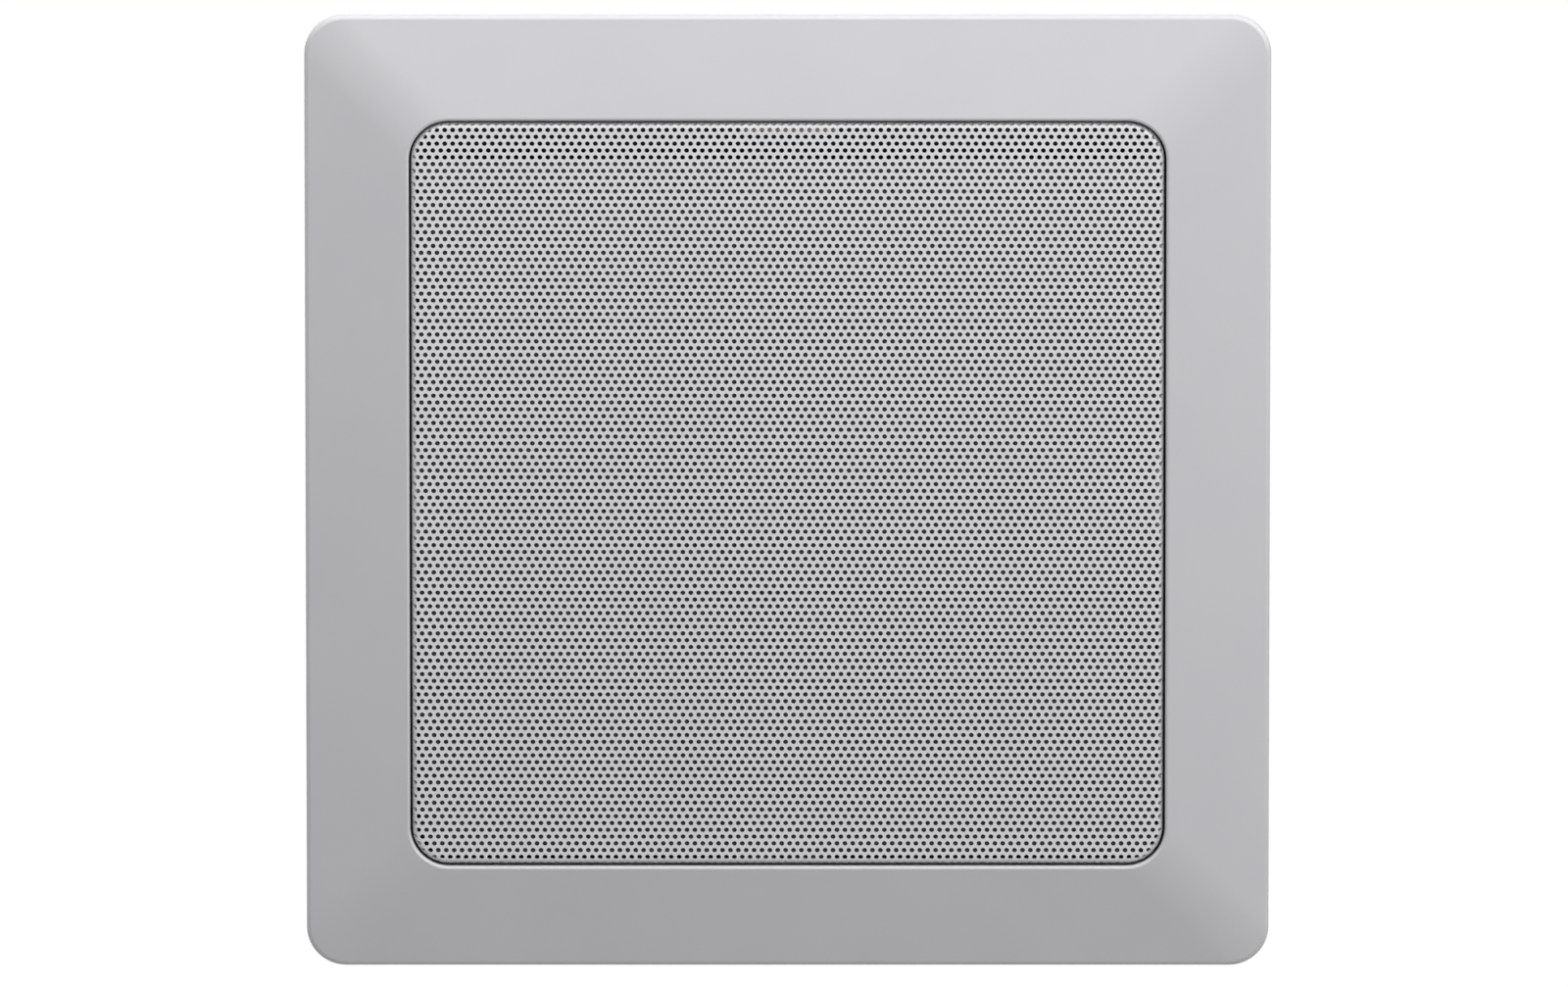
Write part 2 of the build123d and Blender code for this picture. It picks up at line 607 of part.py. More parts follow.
def basket_walls():
    # outline of the pressed basket as (radius, y): inner side from the flange in, then the outer side back
    mouth = ROLL_OUTER_R
    shoulder_y = FLANGE_FRONT + SHOULDER_DROP
    ledge_in = SPIDER_LEDGE_R - SPIDER_LEDGE_W
    bottom = TOP_PLATE_FRONT
    inner = [
        (WOOFER_FLANGE_R, FLANGE_FRONT),
        (mouth, FLANGE_FRONT),
        (mouth - SHOULDER_IN, shoulder_y),
        (SPIDER_LEDGE_R, SPIDER_Y),
        (ledge_in, SPIDER_Y),
        (ledge_in - SLANT_STEP, bottom - BASKET_SHEET),
        (COIL_OUTER_R + BASKET_EYE_GAP, bottom - BASKET_SHEET),
    ]
    outer = [
        (COIL_OUTER_R + BASKET_EYE_GAP, bottom),
        (ledge_in + SLANT_STEP, bottom),
        (ledge_in + BASKET_SHEET, SPIDER_Y + BASKET_SHEET),
        (SPIDER_LEDGE_R + SLANT_STEP, SPIDER_Y + BASKET_SHEET),
        (mouth - SHOULDER_IN + BASKET_SHEET, shoulder_y + SLANT_STEP),
        (mouth + BASKET_SHEET, FLANGE_BACK),
        (WOOFER_FLANGE_R, FLANGE_BACK),
    ]
    return inner, outer


def spoke_plane():
    # a plane lying on the outside of the spoke that carries the solder strip
    outer = basket_walls()[1]
    (r0, y0), (r1, y1) = outer[4], outer[3]
    length = hypot(r1 - r0, y1 - y0)
    across = ((y1 - y0) / length, (r0 - r1) / length)
    r, y = r0 + STRIP_SHARE * (r1 - r0), y0 + STRIP_SHARE * (y1 - y0)
    a = radians(STRIP_ANGLE)
    tangent = (-sin(a), 0, cos(a))
    normal = (across[0] * cos(a), across[1], across[0] * sin(a))
    return Plane(origin=polar(r, y, 0, STRIP_ANGLE), x_dir=tangent, z_dir=normal)


def make_basket():
    inner, outer = basket_walls()
    body = turned(inner + outer)
    # windows between the spokes
    top, bottom = FLANGE_BACK + WINDOW_TOP_GAP, SPIDER_Y - WINDOW_BOTTOM_GAP
    inside, outside = SPIDER_LEDGE_R - 2 * SPIDER_LEDGE_W, WOOFER_FLANGE_R
    outline = [(inside, top), (outside, top), (outside, bottom), (inside, bottom)]
    window = make_face(Polyline(*outline, close=True))
    cutter = revolve(window, axis=Axis.Y, revolution_arc=WINDOW_ANGLE)
    corner = [e for e in cutter.edges() if abs(e.length - (outside - inside)) < 0.01]
    cutter = fillet(corner, WINDOW_CORNER_R)
    pitch = 360 / SPOKE_COUNT
    for index in range(SPOKE_COUNT):
        middle = SPOKE_START + pitch * (index + 0.5)
        body -= Rot(0, -middle - WINDOW_ANGLE / 2, 0) * cutter
    for x, z in woofer_screw_places():
        body -= rod(x, z, WOOFER_SCREW_R + SCREW_CLEARANCE, PLATE_BACK, FLANGE_BACK + 1)
    for over in beside_flats(FLANGE_FRONT, FLANGE_BACK):
        body -= over
    pad = Box(PAD_LENGTH, STRIP_WIDTH, PAD_RISE + BASKET_SHEET / 2)
    return body + spoke_plane() * Pos(0, 0, (PAD_RISE - BASKET_SHEET / 2) / 2) * pad


def tag_blanks():
    low, high = PAD_RISE - TAG_IN, PAD_RISE + STRIP_T + TAG_OUT
    blank = Box(TAG_T, TAG_WIDTH, high - low)
    return [spoke_plane() * Pos(x, 0, (low + high) / 2) * blank for x in (-TAG_SPREAD, TAG_SPREAD)]


def make_terminal_strip():
    strip = spoke_plane() * Pos(0, 0, PAD_RISE + STRIP_T / 2) * Box(STRIP_LENGTH, STRIP_WIDTH, STRIP_T)
    for blank in tag_blanks():
        strip -= blank
    return strip


def cone_front(radius):
    # depth of the cone's front face at a radius
    share = (CONE_RIM_R - radius) / (CONE_RIM_R - CONE_NECK_R)
    return FLANGE_FRONT + CONE_DEPTH * share


def make_tinsel_leads():
    run = hypot(CONE_RIM_R - CONE_NECK_R, CONE_DEPTH)
    normal = (CONE_DEPTH / run, (CONE_RIM_R - CONE_NECK_R) / run)
    end_r = (CONE_NECK_R + CONE_RIM_R) / 2
    lift = CONE_T + GLUE_GAP
    end = (end_r + normal[0] * lift, cone_front(end_r) + normal[1] * lift)
    rise = (end[0] + TINSEL_RISE * normal[0], end[1] + TINSEL_RISE * normal[1])
    leads = []
    for x in (-TAG_SPREAD, TAG_SPREAD):
        tip = spoke_plane() * Pos(x, 0, PAD_RISE - TAG_IN - SOLDER_GAP)
        bend = spoke_plane() * Pos(x, 0, PAD_RISE - TAG_IN - TINSEL_STUB)
        angle = STRIP_ANGLE + degrees(asin(x / end_r))
        points = [tip.position, bend.position, polar(*rise, 0, angle), polar(*end, 0, angle)]
        leads.append(lead(points, TINSEL_R, 2 * TINSEL_R))
    return leads


def make_surround():
    y = FLANGE_FRONT
    front = y - SURROUND_T
    rim = ROLL_OUTER_R + SURROUND_RIM_W
    big, small = SURROUND_ROLL_R, SURROUND_ROLL_R - SURROUND_T
    c = ROLL_CENTRE_R
    return turned_curves([
        Line((rim, front), (c + big, front)),
        ThreePointArc((c + big, front), (c, front - big), (c - big, front)),
        Line((c - big, front), (CONE_RIM_R, front)),
        Line((CONE_RIM_R, front), (CONE_RIM_R, y)),
        Line((CONE_RIM_R, y), (c - small, y)),
        Line((c - small, y), (c - small, front)),
        ThreePointArc((c - small, front), (c, front - small), (c + small, front)),
        Line((c + small, front), (c + small, y)),
        Line((c + small, y), (rim, y)),
        Line((rim, y), (rim, front)),
    ])


def make_cone():
    lift = CONE_T * hypot(1, CONE_DEPTH / (CONE_RIM_R - CONE_NECK_R))
    return turned([
        (CONE_EDGE_R, FLANGE_FRONT),
        (CONE_RIM_R, FLANGE_FRONT),
        (CONE_NECK_R, CONE_NECK_Y),
        (FORMER_R, CONE_NECK_Y),
        (FORMER_R, CONE_NECK_Y + CONE_COLLAR_H),
        (CONE_NECK_R, CONE_NECK_Y + CONE_COLLAR_H),
        (CONE_NECK_R, CONE_NECK_Y + lift),
        (CONE_RIM_R, FLANGE_FRONT + lift),
        (CONE_EDGE_R, FLANGE_FRONT + lift),
    ])


def dome_shell(radius, rise, thickness, base):
    # a thin spherical cap whose rim lies on the base plane
    ball = (radius ** 2 + rise ** 2) / (2 * rise)
    apex = base - rise
    half = radius / 2
    side = apex + ball - (ball ** 2 - half ** 2) ** 0.5
    return turned_curves([
        ThreePointArc((0, apex), (half, side), (radius, base)),
        Line((radius, base), (radius, base + thickness)),
        ThreePointArc((radius, base + thickness), (half, side + thickness), (0, apex + thickness)),
        Line((0, apex + thickness), (0, apex)),
    ])


def make_dust_cap():
    shell = dome_shell(DUST_CAP_R, DUST_CAP_RISE, DUST_CAP_T, cone_front(DUST_CAP_R))
    # its foot is trimmed to the slope of the cone, a film of glue in front of it
    behind = turned([
        (0, CONE_NECK_Y - GLUE_GAP),
        (CONE_NECK_R, CONE_NECK_Y - GLUE_GAP),
        (CONE_RIM_R, FLANGE_FRONT - GLUE_GAP),
        (CONE_RIM_R, SPIDER_Y),
        (0, SPIDER_Y),
    ])
    return shell - behind


def make_spider():
    # concentric waves of cloth between the coil former and the basket's ledge
    inner, outer = FORMER_R, SPIDER_LEDGE_R - SPIDER_EDGE
    flat_in, flat_out = inner + SPIDER_FLAT_W, SPIDER_LEDGE_R - SPIDER_LEDGE_W - SPIDER_LEDGE_CLEARANCE
    width = (flat_out - flat_in) / (2 * SPIDER_WAVES)
    back = SPIDER_Y
    front = SPIDER_Y - SPIDER_T
    edges = []
    for y, direction in ((front, 1), (back, -1)):
        run = [Line((inner, y), (flat_in, y))]
        for index in range(2 * SPIDER_WAVES):
            r = flat_in + width * index
            bulge = SPIDER_WAVE_H * (-1 if index % 2 else 1)
            run.append(ThreePointArc((r, y), (r + width / 2, y - bulge), (r + width, y)))
        run.append(Line((flat_out, y), (outer, y)))
        edges += run[::direction]
    edges.append(Line((outer, front), (outer, back)))
    edges.append(Line((inner, back), (inner, front)))
    return turned_curves(edges)


def make_former():
    front = CONE_NECK_Y - FORMER_END
    back = COIL_MIDDLE + COIL_HEIGHT / 2 + FORMER_END
    return rod(0, 0, FORMER_R, front, back) - rod(0, 0, COIL_INNER_R, front - 1, back + 1)


def make_coil():
    front, back = COIL_MIDDLE - COIL_HEIGHT / 2, COIL_MIDDLE + COIL_HEIGHT / 2
    return rod(0, 0, COIL_OUTER_R, front, back) - rod(0, 0, FORMER_R, front - 1, back + 1)


def make_top_plate():
    disc = rod(0, 0, TOP_PLATE_R, TOP_PLATE_FRONT, TOP_PLATE_BACK)
    return disc - rod(0, 0, COIL_OUTER_R + COIL_GAP, TOP_PLATE_FRONT - 1, TOP_PLATE_BACK + 1)


def make_woofer_magnet():
    ring = rod(0, 0, WOOFER_MAGNET_R, TOP_PLATE_BACK, MAGNET_BACK)
    ring = chamfer(ring.edges().filter_by(GeomType.CIRCLE), WOOFER_MAGNET_EDGE)
    return ring - rod(0, 0, WOOFER_MAGNET_BORE_R, TOP_PLATE_BACK - 1, MAGNET_BACK + 1)


def make_yoke():
    pole_r = COIL_INNER_R - COIL_GAP
    back = MAGNET_BACK + YOKE_T
    return turned([
        (YOKE_VENT_R, TOP_PLATE_FRONT),
        (pole_r, TOP_PLATE_FRONT),
        (pole_r, MAGNET_BACK),
        (TOP_PLATE_R, MAGNET_BACK),
        (TOP_PLATE_R, back - YOKE_CHAMFER),
        (TOP_PLATE_R - YOKE_CHAMFER, back),
        (YOKE_VENT_R + YOKE_CHAMFER, back),
        (YOKE_VENT_R, back - YOKE_CHAMFER),
    ])


def lead_hole_z():
    # where the tweeter's leads come through the baffle, inside the bridge's foot
    return FOOT_INNER + FOOT_LENGTH - LEAD_R - LEAD_HOLE_EDGE


def make_bridge():
    end = FOOT_INNER + FOOT_LENGTH
    body = block(-BRIDGE_WIDTH / 2, BRIDGE_WIDTH / 2, BRIDGE_FRONT, BRIDGE_BACK, -end, end)
    for side in (-1, 1):
        z0, z1 = sorted((side * FOOT_INNER, side * end))
        foot = block(-FOOT_WIDTH / 2, FOOT_WIDTH / 2, BRIDGE_FRONT, PLATE_SINK, z0, z1)
        body += fillet(foot.edges().filter_by(Axis.Y), FOOT_CORNER_R)
    body += rod(0, 0, HUB_R, BRIDGE_FRONT, HUB_END)
    body -= rod(0, 0, HUB_BORE_R, BRIDGE_FRONT - 1, CUP_END)
    body -= rod(0, 0, HUB_BACK_HOLE_R, BRIDGE_FRONT, HUB_END + 1)
    for z in (-FOOT_MIDDLE, FOOT_MIDDLE):
        body -= rod(0, z, SMALL_HEAD_R + SMALL_HEAD_CLEARANCE, BRIDGE_FRONT - 1, bridge_screw_seat())
        body -= rod(0, z, SMALL_SCREW_R + SCREW_CLEARANCE, BRIDGE_FRONT, PLATE_SINK + 1)
    groove = BRIDGE_GROOVE_W / 2
    groove_back = BRIDGE_FRONT + BRIDGE_GROOVE_DEPTH
    body -= block(-groove, groove, BRIDGE_FRONT - 1, groove_back, HUB_BORE_R - 1, end - LEAD_HOLE_EDGE)
    for side in (-LEAD_SPREAD, LEAD_SPREAD):
        body -= rod(side, lead_hole_z(), LEAD_R + LEAD_HOLE_CLEARANCE, BRIDGE_FRONT, PLATE_SINK + 1)
    return body


def bridge_screw_seat():
    return BRIDGE_BACK + BRIDGE_SCREW_SINK


def make_bridge_screws():
    tip = PLATE_BACK - SCREW_CLEARANCE - SCREW_TIP_CLEARANCE
    return [pan_screw(0, z, bridge_screw_seat(), tip, SMALL_SCREW_R, SMALL_HEAD_R, SMALL_HEAD_H)
            for z in (-FOOT_MIDDLE, FOOT_MIDDLE)]


def make_faceplate():
    front = BRIDGE_FRONT - FACEPLATE_T
    throat = CUP_R - CUP_WALL + THROAT_EDGE
    return turned([
        (throat + THROAT_FLARE, front),
        (FACEPLATE_R, front),
        (FACEPLATE_R, BRIDGE_FRONT),
        (CUP_R, BRIDGE_FRONT),
        (CUP_R, DOME_Y),
        (throat, DOME_Y),
    ])


def make_dome():
    # a dome and its small roll in one formed film, clamped at the rim
    y, t = DOME_Y, DOME_T
    roll_out = CUP_R - CUP_WALL + DOME_ROLL_EDGE
    roll_mid = (DOME_R + roll_out) / 2
    roll_h = (roll_out - DOME_R) * DOME_ROLL_SHARE
    film = turned_curves([
        ThreePointArc((DOME_R, y), (roll_mid, y - roll_h), (roll_out, y)),
        Line((roll_out, y), (CUP_R, y)),
        Line((CUP_R, y), (CUP_R, y + t)),
        Line((CUP_R, y + t), (roll_out, y + t)),
        ThreePointArc((roll_out, y + t), (roll_mid, y + t - roll_h), (DOME_R, y + t)),
        Line((DOME_R, y + t), (DOME_R, y)),
    ])
    return film + dome_shell(DOME_R, DOME_RISE, t, y)


def make_tweeter_coil():
    inner, outer = DOME_R - TWEETER_COIL_T / 2, DOME_R + TWEETER_COIL_T / 2
    front = DOME_Y + DOME_T
    back = front + TWEETER_COIL_H
    return rod(0, 0, outer, front, back) - rod(0, 0, inner, front - 1, back + 1)


def pole_plate_front():
    return CUP_END - CUP_BOTTOM_T - TWEETER_MAGNET_T - POLE_PLATE_T


def make_pole_plate():
    front = pole_plate_front()
    return rod(0, 0, POLE_PLATE_R, front, front + POLE_PLATE_T)


def make_tweeter_magnet():
    front = pole_plate_front() + POLE_PLATE_T
    return rod(0, 0, POLE_PLATE_R - POLE_PLATE_OVERHANG, front, front + TWEETER_MAGNET_T)


def make_cup():
    cup = rod(0, 0, CUP_R, CUP_FRONT, CUP_END)
    return cup - rod(0, 0, CUP_R - CUP_WALL, CUP_FRONT - 1, CUP_END - CUP_BOTTOM_T)


def make_board():
    x, z = board_point((BOARD_SIDE / 2, BOARD_SIDE / 2))
    half = BOARD_SIDE / 2
    board = block(x - half, x + half, BOARD_FRONT, BOARD_BACK, z - half, z + half)
    board = fillet(board.edges().filter_by(Axis.Y), BOARD_CORNER_R)
    for place in (POST_A, POST_B):
        x, z = board_point(place)
        board -= rod(x, z, SMALL_SCREW_R + SCREW_CLEARANCE, BOARD_FRONT - 1, BOARD_BACK + 1)
    return board


def make_board_screws():
    tip = PLATE_BACK + POST_FLOOR + SCREW_TIP_CLEARANCE
    return [pan_screw(*board_point(place), BOARD_BACK, tip, SMALL_SCREW_R, SMALL_HEAD_R, SMALL_HEAD_H)
            for place in (POST_A, POST_B)]


def make_inductor_core():
    x, z = board_point(INDUCTOR_AT)
    end = BOARD_BACK + INDUCTOR_H
    core = rod(x, z, INDUCTOR_HUB_R, BOARD_BACK, end)
    core += rod(x, z, INDUCTOR_R, BOARD_BACK, BOARD_BACK + INDUCTOR_FLANGE_T)
    core += rod(x, z, INDUCTOR_R, end - INDUCTOR_FLANGE_T, end)
    return core - rod(x, z, INDUCTOR_BORE_R, BOARD_BACK + INDUCTOR_FLANGE_T, end + 1)


def make_inductor_winding():
    x, z = board_point(INDUCTOR_AT)
    front, back = BOARD_BACK + INDUCTOR_FLANGE_T, BOARD_BACK + INDUCTOR_H - INDUCTOR_FLANGE_T
    return rod(x, z, INDUCTOR_WINDING_R, front, back) - rod(x, z, INDUCTOR_HUB_R, front - 1, back + 1)


def make_capacitor():
    x, z = board_point(CAPACITOR_AT)
    can = Cylinder(CAPACITOR_R, CAPACITOR_LENGTH)
    can = fillet(can.edges().filter_by(GeomType.CIRCLE), CAPACITOR_EDGE_R)
    return Pos(x, BOARD_BACK + CAPACITOR_R + SOLDER_GAP, z) * can


def make_resistor():
    x, z = board_point(RESISTOR_AT)
    half, reach = RESISTOR_W / 2, RESISTOR_LENGTH / 2
    body = block(x - half, x + half, BOARD_BACK, BOARD_BACK + RESISTOR_W, z - reach, z + reach)
    return fillet(body.edges().filter_by(Axis.Z), RESISTOR_EDGE_R)


def lever_axis():
    # height and depth of the levers' pivot
    z = board_point(BLOCK_AT)[1] + BLOCK_H / 2 - POCKET_EDGE - LEVER_T / 2 - LEVER_TOP_CLEARANCE
    return z, BLOCK_BACK - LEVER_T / 2 - LEVER_BACK_CLEARANCE


def lever_places():
    x = board_point(BLOCK_AT)[0]
    return x - LEVER_SPREAD, x + LEVER_SPREAD


def make_terminal_block():
    x, z = board_point(BLOCK_AT)
    low, high = z - BLOCK_H / 2, z + BLOCK_H / 2
    body = block(x - BLOCK_W / 2, x + BLOCK_W / 2, BOARD_BACK, BLOCK_BACK, low, high)
    body = fillet(body.edges().filter_by(Axis.Y), BLOCK_EDGE_R)
    pin_z, pin_y = lever_axis()
    half = LEVER_W / 2 + LEVER_SIDE_CLEARANCE
    slot_top = low + WIRE_SLOT_EDGE + WIRE_SLOT_H
    pin_reach = LEVER_W / 2 + LEVER_PIN_OVERHANG
    for middle in lever_places():
        body -= block(middle - half, middle + half, BLOCK_BACK - POCKET_DEPTH, BLOCK_BACK + 1,
                      slot_top + POCKET_SILL, high - POCKET_EDGE)
        body -= block(middle - WIRE_SLOT_W / 2, middle + WIRE_SLOT_W / 2, BLOCK_BACK - WIRE_SLOT_DEPTH,
                      BLOCK_BACK + 1, low + WIRE_SLOT_EDGE, slot_top)
        socket = Cylinder(LEVER_PIN_R + LEVER_PIN_CLEARANCE, 2 * (pin_reach + LEVER_PIN_CLEARANCE))
        body -= Pos(middle, pin_y, pin_z) * Rot(0, 90, 0) * socket
    return body


def make_lever(middle):
    # a finger tab that leans out of the block and turns about a pin at its upper end
    pin_z, pin_y = lever_axis()
    tab = Pos(0, 0, -LEVER_LENGTH / 2) * Box(LEVER_W, LEVER_T, LEVER_LENGTH)
    tab += Rot(0, 90, 0) * Cylinder(LEVER_T / 2, LEVER_W)
    tab = fillet(tab.edges().filter_by(Axis.X).group_by(Axis.Z)[0], LEVER_T * LEVER_ROUND_SHARE)
    tab += Rot(0, 90, 0) * Cylinder(LEVER_PIN_R, LEVER_W + 2 * LEVER_PIN_OVERHANG)
    return Pos(middle, pin_y, pin_z) * Rot(LEVER_TILT, 0, 0) * tab


def make_clamp_screws():
    tip = PLATE_BACK + TOWER_DEPTH + CLAMP_SCREW_TIP
    return [pan_screw(x, z, PLATE_SINK, tip, CLAMP_SCREW_R, CLAMP_HEAD_R, CLAMP_HEAD_H)
            for x, z, turn in clamp_places().values()]


def make_bush(x, z):
    front = ARM_BACK - BUSH_LENGTH
    body = rod(0, 0, BUSH_R, front, BUSH_BACK) + rod(0, 0, BUSH_FLANGE_R, ARM_BACK, BUSH_BACK)
    body -= rod(0, 0, CLAMP_SCREW_R + BUSH_BORE_CLEARANCE, front - 1, BUSH_BACK + 1)
    return Pos(x, 0, z) * body


def make_arm(x, z, turn):
    # the arm points along its side of the chassis when parked; ridges at its tip grip the wall board
    beam = block(-ARM_WIDTH / 2, ARM_WIDTH / 2, ARM_FRONT, ARM_BACK, 0, ARM_REACH - ARM_WIDTH / 2)
    beam += rod(0, ARM_REACH - ARM_WIDTH / 2, ARM_WIDTH / 2, ARM_FRONT, ARM_BACK)
    hollow = block(-ARM_WIDTH / 2 + ARM_WALL, ARM_WIDTH / 2 - ARM_WALL, ARM_FRONT + ARM_FLOOR, ARM_BACK + 1,
                   ARM_HUB_R + ARM_HUB_WALL, ARM_REACH - ARM_WIDTH / 2)
    beam -= hollow
    beam += rod(0, 0, ARM_HUB_R, ARM_BACK - BUSH_LENGTH, ARM_BACK)
    for step in range(ARM_FOOT_COUNT):
        ridge = ARM_REACH - ARM_WIDTH / 2 - step * ARM_FOOT_PITCH
        half = ARM_WIDTH / 2 - ARM_FOOT_EDGE
        beam += block(-half, half, ARM_FRONT - ARM_FOOT_H, ARM_FRONT,
                      ridge - ARM_FOOT_T / 2, ridge + ARM_FOOT_T / 2)
    beam -= rod(0, 0, BUSH_R + ARM_BORE_CLEARANCE, ARM_BACK - BUSH_LENGTH - 1, ARM_BACK + 1)
    return Pos(x, 0, z) * Rot(0, turn, 0) * beam


def make_woofer_leads():
    # from the solder tags across to the inner corner of the crossover board
    leads = []
    for side, place in ((-TAG_SPREAD, WOOFER_LEAD_A), (TAG_SPREAD, WOOFER_LEAD_B)):
        end_x, end_z = board_point(place)
        tag = spoke_plane() * Pos(side + (TAG_T / 2 + LEAD_R + SOLDER_GAP) * (1 if side > 0 else -1), 0, 0)
        low = tag * Pos(0, 0, PAD_RISE + STRIP_T + TAG_OUT - WOOFER_LEAD_LAP)
        high = tag * Pos(0, 0, PAD_RISE + STRIP_T + TAG_OUT + WOOFER_LEAD_TAIL)
        top = BOARD_BACK + WOOFER_LEAD_RISE
        points = [low.position, high.position, (end_x, top, end_z), (end_x, BOARD_BACK + SOLDER_GAP, end_z)]
        leads.append(lead(points, LEAD_R, LEAD_BEND_R))
    return leads


def make_tweeter_leads():
    # from the board along the back of the baffle, through the bridge's foot and down its groove to the hub
    leads = []
    run_y = BRIDGE_FRONT + BRIDGE_GROOVE_DEPTH - LEAD_R - SOLDER_GAP
    hole_z = lead_hole_z()
    for side in (-LEAD_SPREAD, LEAD_SPREAD):
        start_x, start_z = board_point((LEAD_END_EDGE, BOARD_SIDE - LEAD_END_EDGE - LEAD_SPREAD + side))
        high = BOARD_BACK + TWEETER_LEAD_RISE
        points = [
            (start_x, BOARD_BACK + SOLDER_GAP, start_z),
            (start_x, high, start_z),
            (side, high, start_z),
            (side, high, hole_z),
            (side, run_y, hole_z),
            (side, run_y, HUB_BORE_R),
        ]
        leads.append(lead(points, LEAD_R, TWEETER_LEAD_BEND_R))
    return leads


NODES = {
    "bezel": [make_bezel()],
    "grille": [make_grille()],
    "grille_scrim": [make_scrim()],
    "grille_magnets": magnet_bars(),
    "baffle": [make_baffle()],
    "bezel_screws": make_bezel_screws(),
    "woofer_basket": [make_basket()],
    "woofer_gasket": [make_gasket()],
    "woofer_surround": [make_surround()],
    "woofer_cone": [make_cone()],
    "woofer_dust_cap": [make_dust_cap()],
    "woofer_spider": [make_spider()],
    "voice_coil_former": [make_former()],
    "voice_coil": [make_coil()],
    "woofer_top_plate": [make_top_plate()],
    "woofer_magnet": [make_woofer_magnet()],
    "woofer_yoke": [make_yoke()],
    "woofer_screws": make_woofer_screws(),
    "terminal_strip": [make_terminal_strip()],
    "terminal_tags": tag_blanks(),
    "tinsel_leads": make_tinsel_leads(),
    "tweeter_bridge": [make_bridge()],
    "bridge_screws": make_bridge_screws(),
    "tweeter_faceplate": [make_faceplate()],
    "tweeter_dome": [make_dome()],
    "tweeter_coil": [make_tweeter_coil()],
    "tweeter_pole_plate": [make_pole_plate()],
    "tweeter_magnet": [make_tweeter_magnet()],
    "tweeter_cup": [make_cup()],
    "crossover_board": [make_board()],
    "board_screws": make_board_screws(),
    "inductor_core": [make_inductor_core()],
    "inductor_winding": [make_inductor_winding()],
    "capacitor": [make_capacitor()],
    "resistor": [make_resistor()],
    "terminal_block": [make_terminal_block()],
    "terminal_lever_red": [make_lever(lever_places()[0])],
    "terminal_lever_black": [make_lever(lever_places()[1])],
    "clamp_screws": make_clamp_screws(),
    "woofer_leads": make_woofer_leads(),
    "tweeter_leads": make_tweeter_leads(),
}
for name, (x, z, turn) in clamp_places().items():
    NODES["clamp_bush_" + name] = [make_bush(x, z)]
    NODES["clamp_arm_" + name] = [make_arm(x, z, turn)]

for name, shapes in NODES.items():
    solids = [solid for shape in shapes for solid in shape.solids()]
    export_step(solids[0] if len(solids) == 1 else Compound(children=solids), "parts/" + name + ".step")
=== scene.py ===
import bmesh
import bpy
import json
import math
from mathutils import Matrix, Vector, noise


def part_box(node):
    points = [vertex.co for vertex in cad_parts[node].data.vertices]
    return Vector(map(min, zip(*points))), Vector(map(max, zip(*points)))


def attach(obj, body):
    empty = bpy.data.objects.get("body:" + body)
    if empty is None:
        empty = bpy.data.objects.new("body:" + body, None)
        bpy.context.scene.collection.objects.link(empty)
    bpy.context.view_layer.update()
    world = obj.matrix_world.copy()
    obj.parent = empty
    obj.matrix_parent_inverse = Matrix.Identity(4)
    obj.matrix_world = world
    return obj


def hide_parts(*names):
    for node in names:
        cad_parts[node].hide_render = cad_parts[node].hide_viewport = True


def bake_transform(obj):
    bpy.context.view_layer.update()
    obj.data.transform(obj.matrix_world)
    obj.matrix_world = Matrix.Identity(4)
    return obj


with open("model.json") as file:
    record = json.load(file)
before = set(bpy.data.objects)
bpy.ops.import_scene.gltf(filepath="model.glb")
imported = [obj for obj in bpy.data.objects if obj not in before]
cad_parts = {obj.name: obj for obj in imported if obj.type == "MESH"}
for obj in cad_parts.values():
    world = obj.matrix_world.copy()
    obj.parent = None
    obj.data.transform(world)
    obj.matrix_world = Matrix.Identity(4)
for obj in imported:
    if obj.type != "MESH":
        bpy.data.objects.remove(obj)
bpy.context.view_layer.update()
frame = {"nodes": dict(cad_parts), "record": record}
nodes = frame["nodes"]
scene = bpy.context.scene
mm = 0.001
weld = 1e-6  # points nearer than this, in metres, become one
calc, vect = "ShaderNodeMath", "ShaderNodeVectorMath"


# adds one node with its settings, values and links, and gives one of its outputs
def addNode(tree, kind, feeds=None, take=0, **settings):
    node = tree.nodes.new(kind)
    for key, value in settings.items():
        setattr(node, key, value)
    for key, value in (feeds or {}).items():
        for source in value if isinstance(value, list) else [value]:
            if isinstance(source, bpy.types.NodeSocket):
                tree.links.new(source, node.inputs[key])
            else:
                node.inputs[key].default_value = source
    if take is None or not node.outputs:
        return node.outputs
    return node.outputs[take]


def addObject(name, data):
    thing = bpy.data.objects.new(name, data)
    scene.collection.objects.link(thing)
    return thing


def hexLinear(text):  # sRGB hex to linear colour
    parts = [int(text[i:i + 2], 16) / 255 for i in (1, 3, 5)]
    return tuple(p / 12.92 if p <= 0.04045 else ((p + 0.055) / 1.055) ** 2.4 for p in parts) + (1.0,)


# camera: square on, ten degrees above, with the long lens of a catalogue photo; degrees and metres
cameraView = {"elevation": 9.9, "distance": 6.6, "widthAtPart": 0.39673, "aimX": -0.00092, "aimUp": -0.00075,
              "clipEnd": 60.0}


def makeCamera():
    tilt = math.radians(cameraView["elevation"])
    lens = bpy.data.cameras.new("photoCamera")
    lens.lens = lens.sensor_width * cameraView["distance"] / cameraView["widthAtPart"]
    lens.clip_end = cameraView["clipEnd"]
    camera = addObject("photoCamera", lens)
    up = Vector((0, math.sin(tilt), math.cos(tilt)))
    aim = Vector((cameraView["aimX"], 0, 0)) + up * cameraView["aimUp"]
    camera.location = aim + cameraView["distance"] * Vector((0, -math.cos(tilt), math.sin(tilt)))
    camera.rotation_euler = (math.radians(90) - tilt, 0, 0)
    scene.camera = camera


makeCamera()
print("camera set")

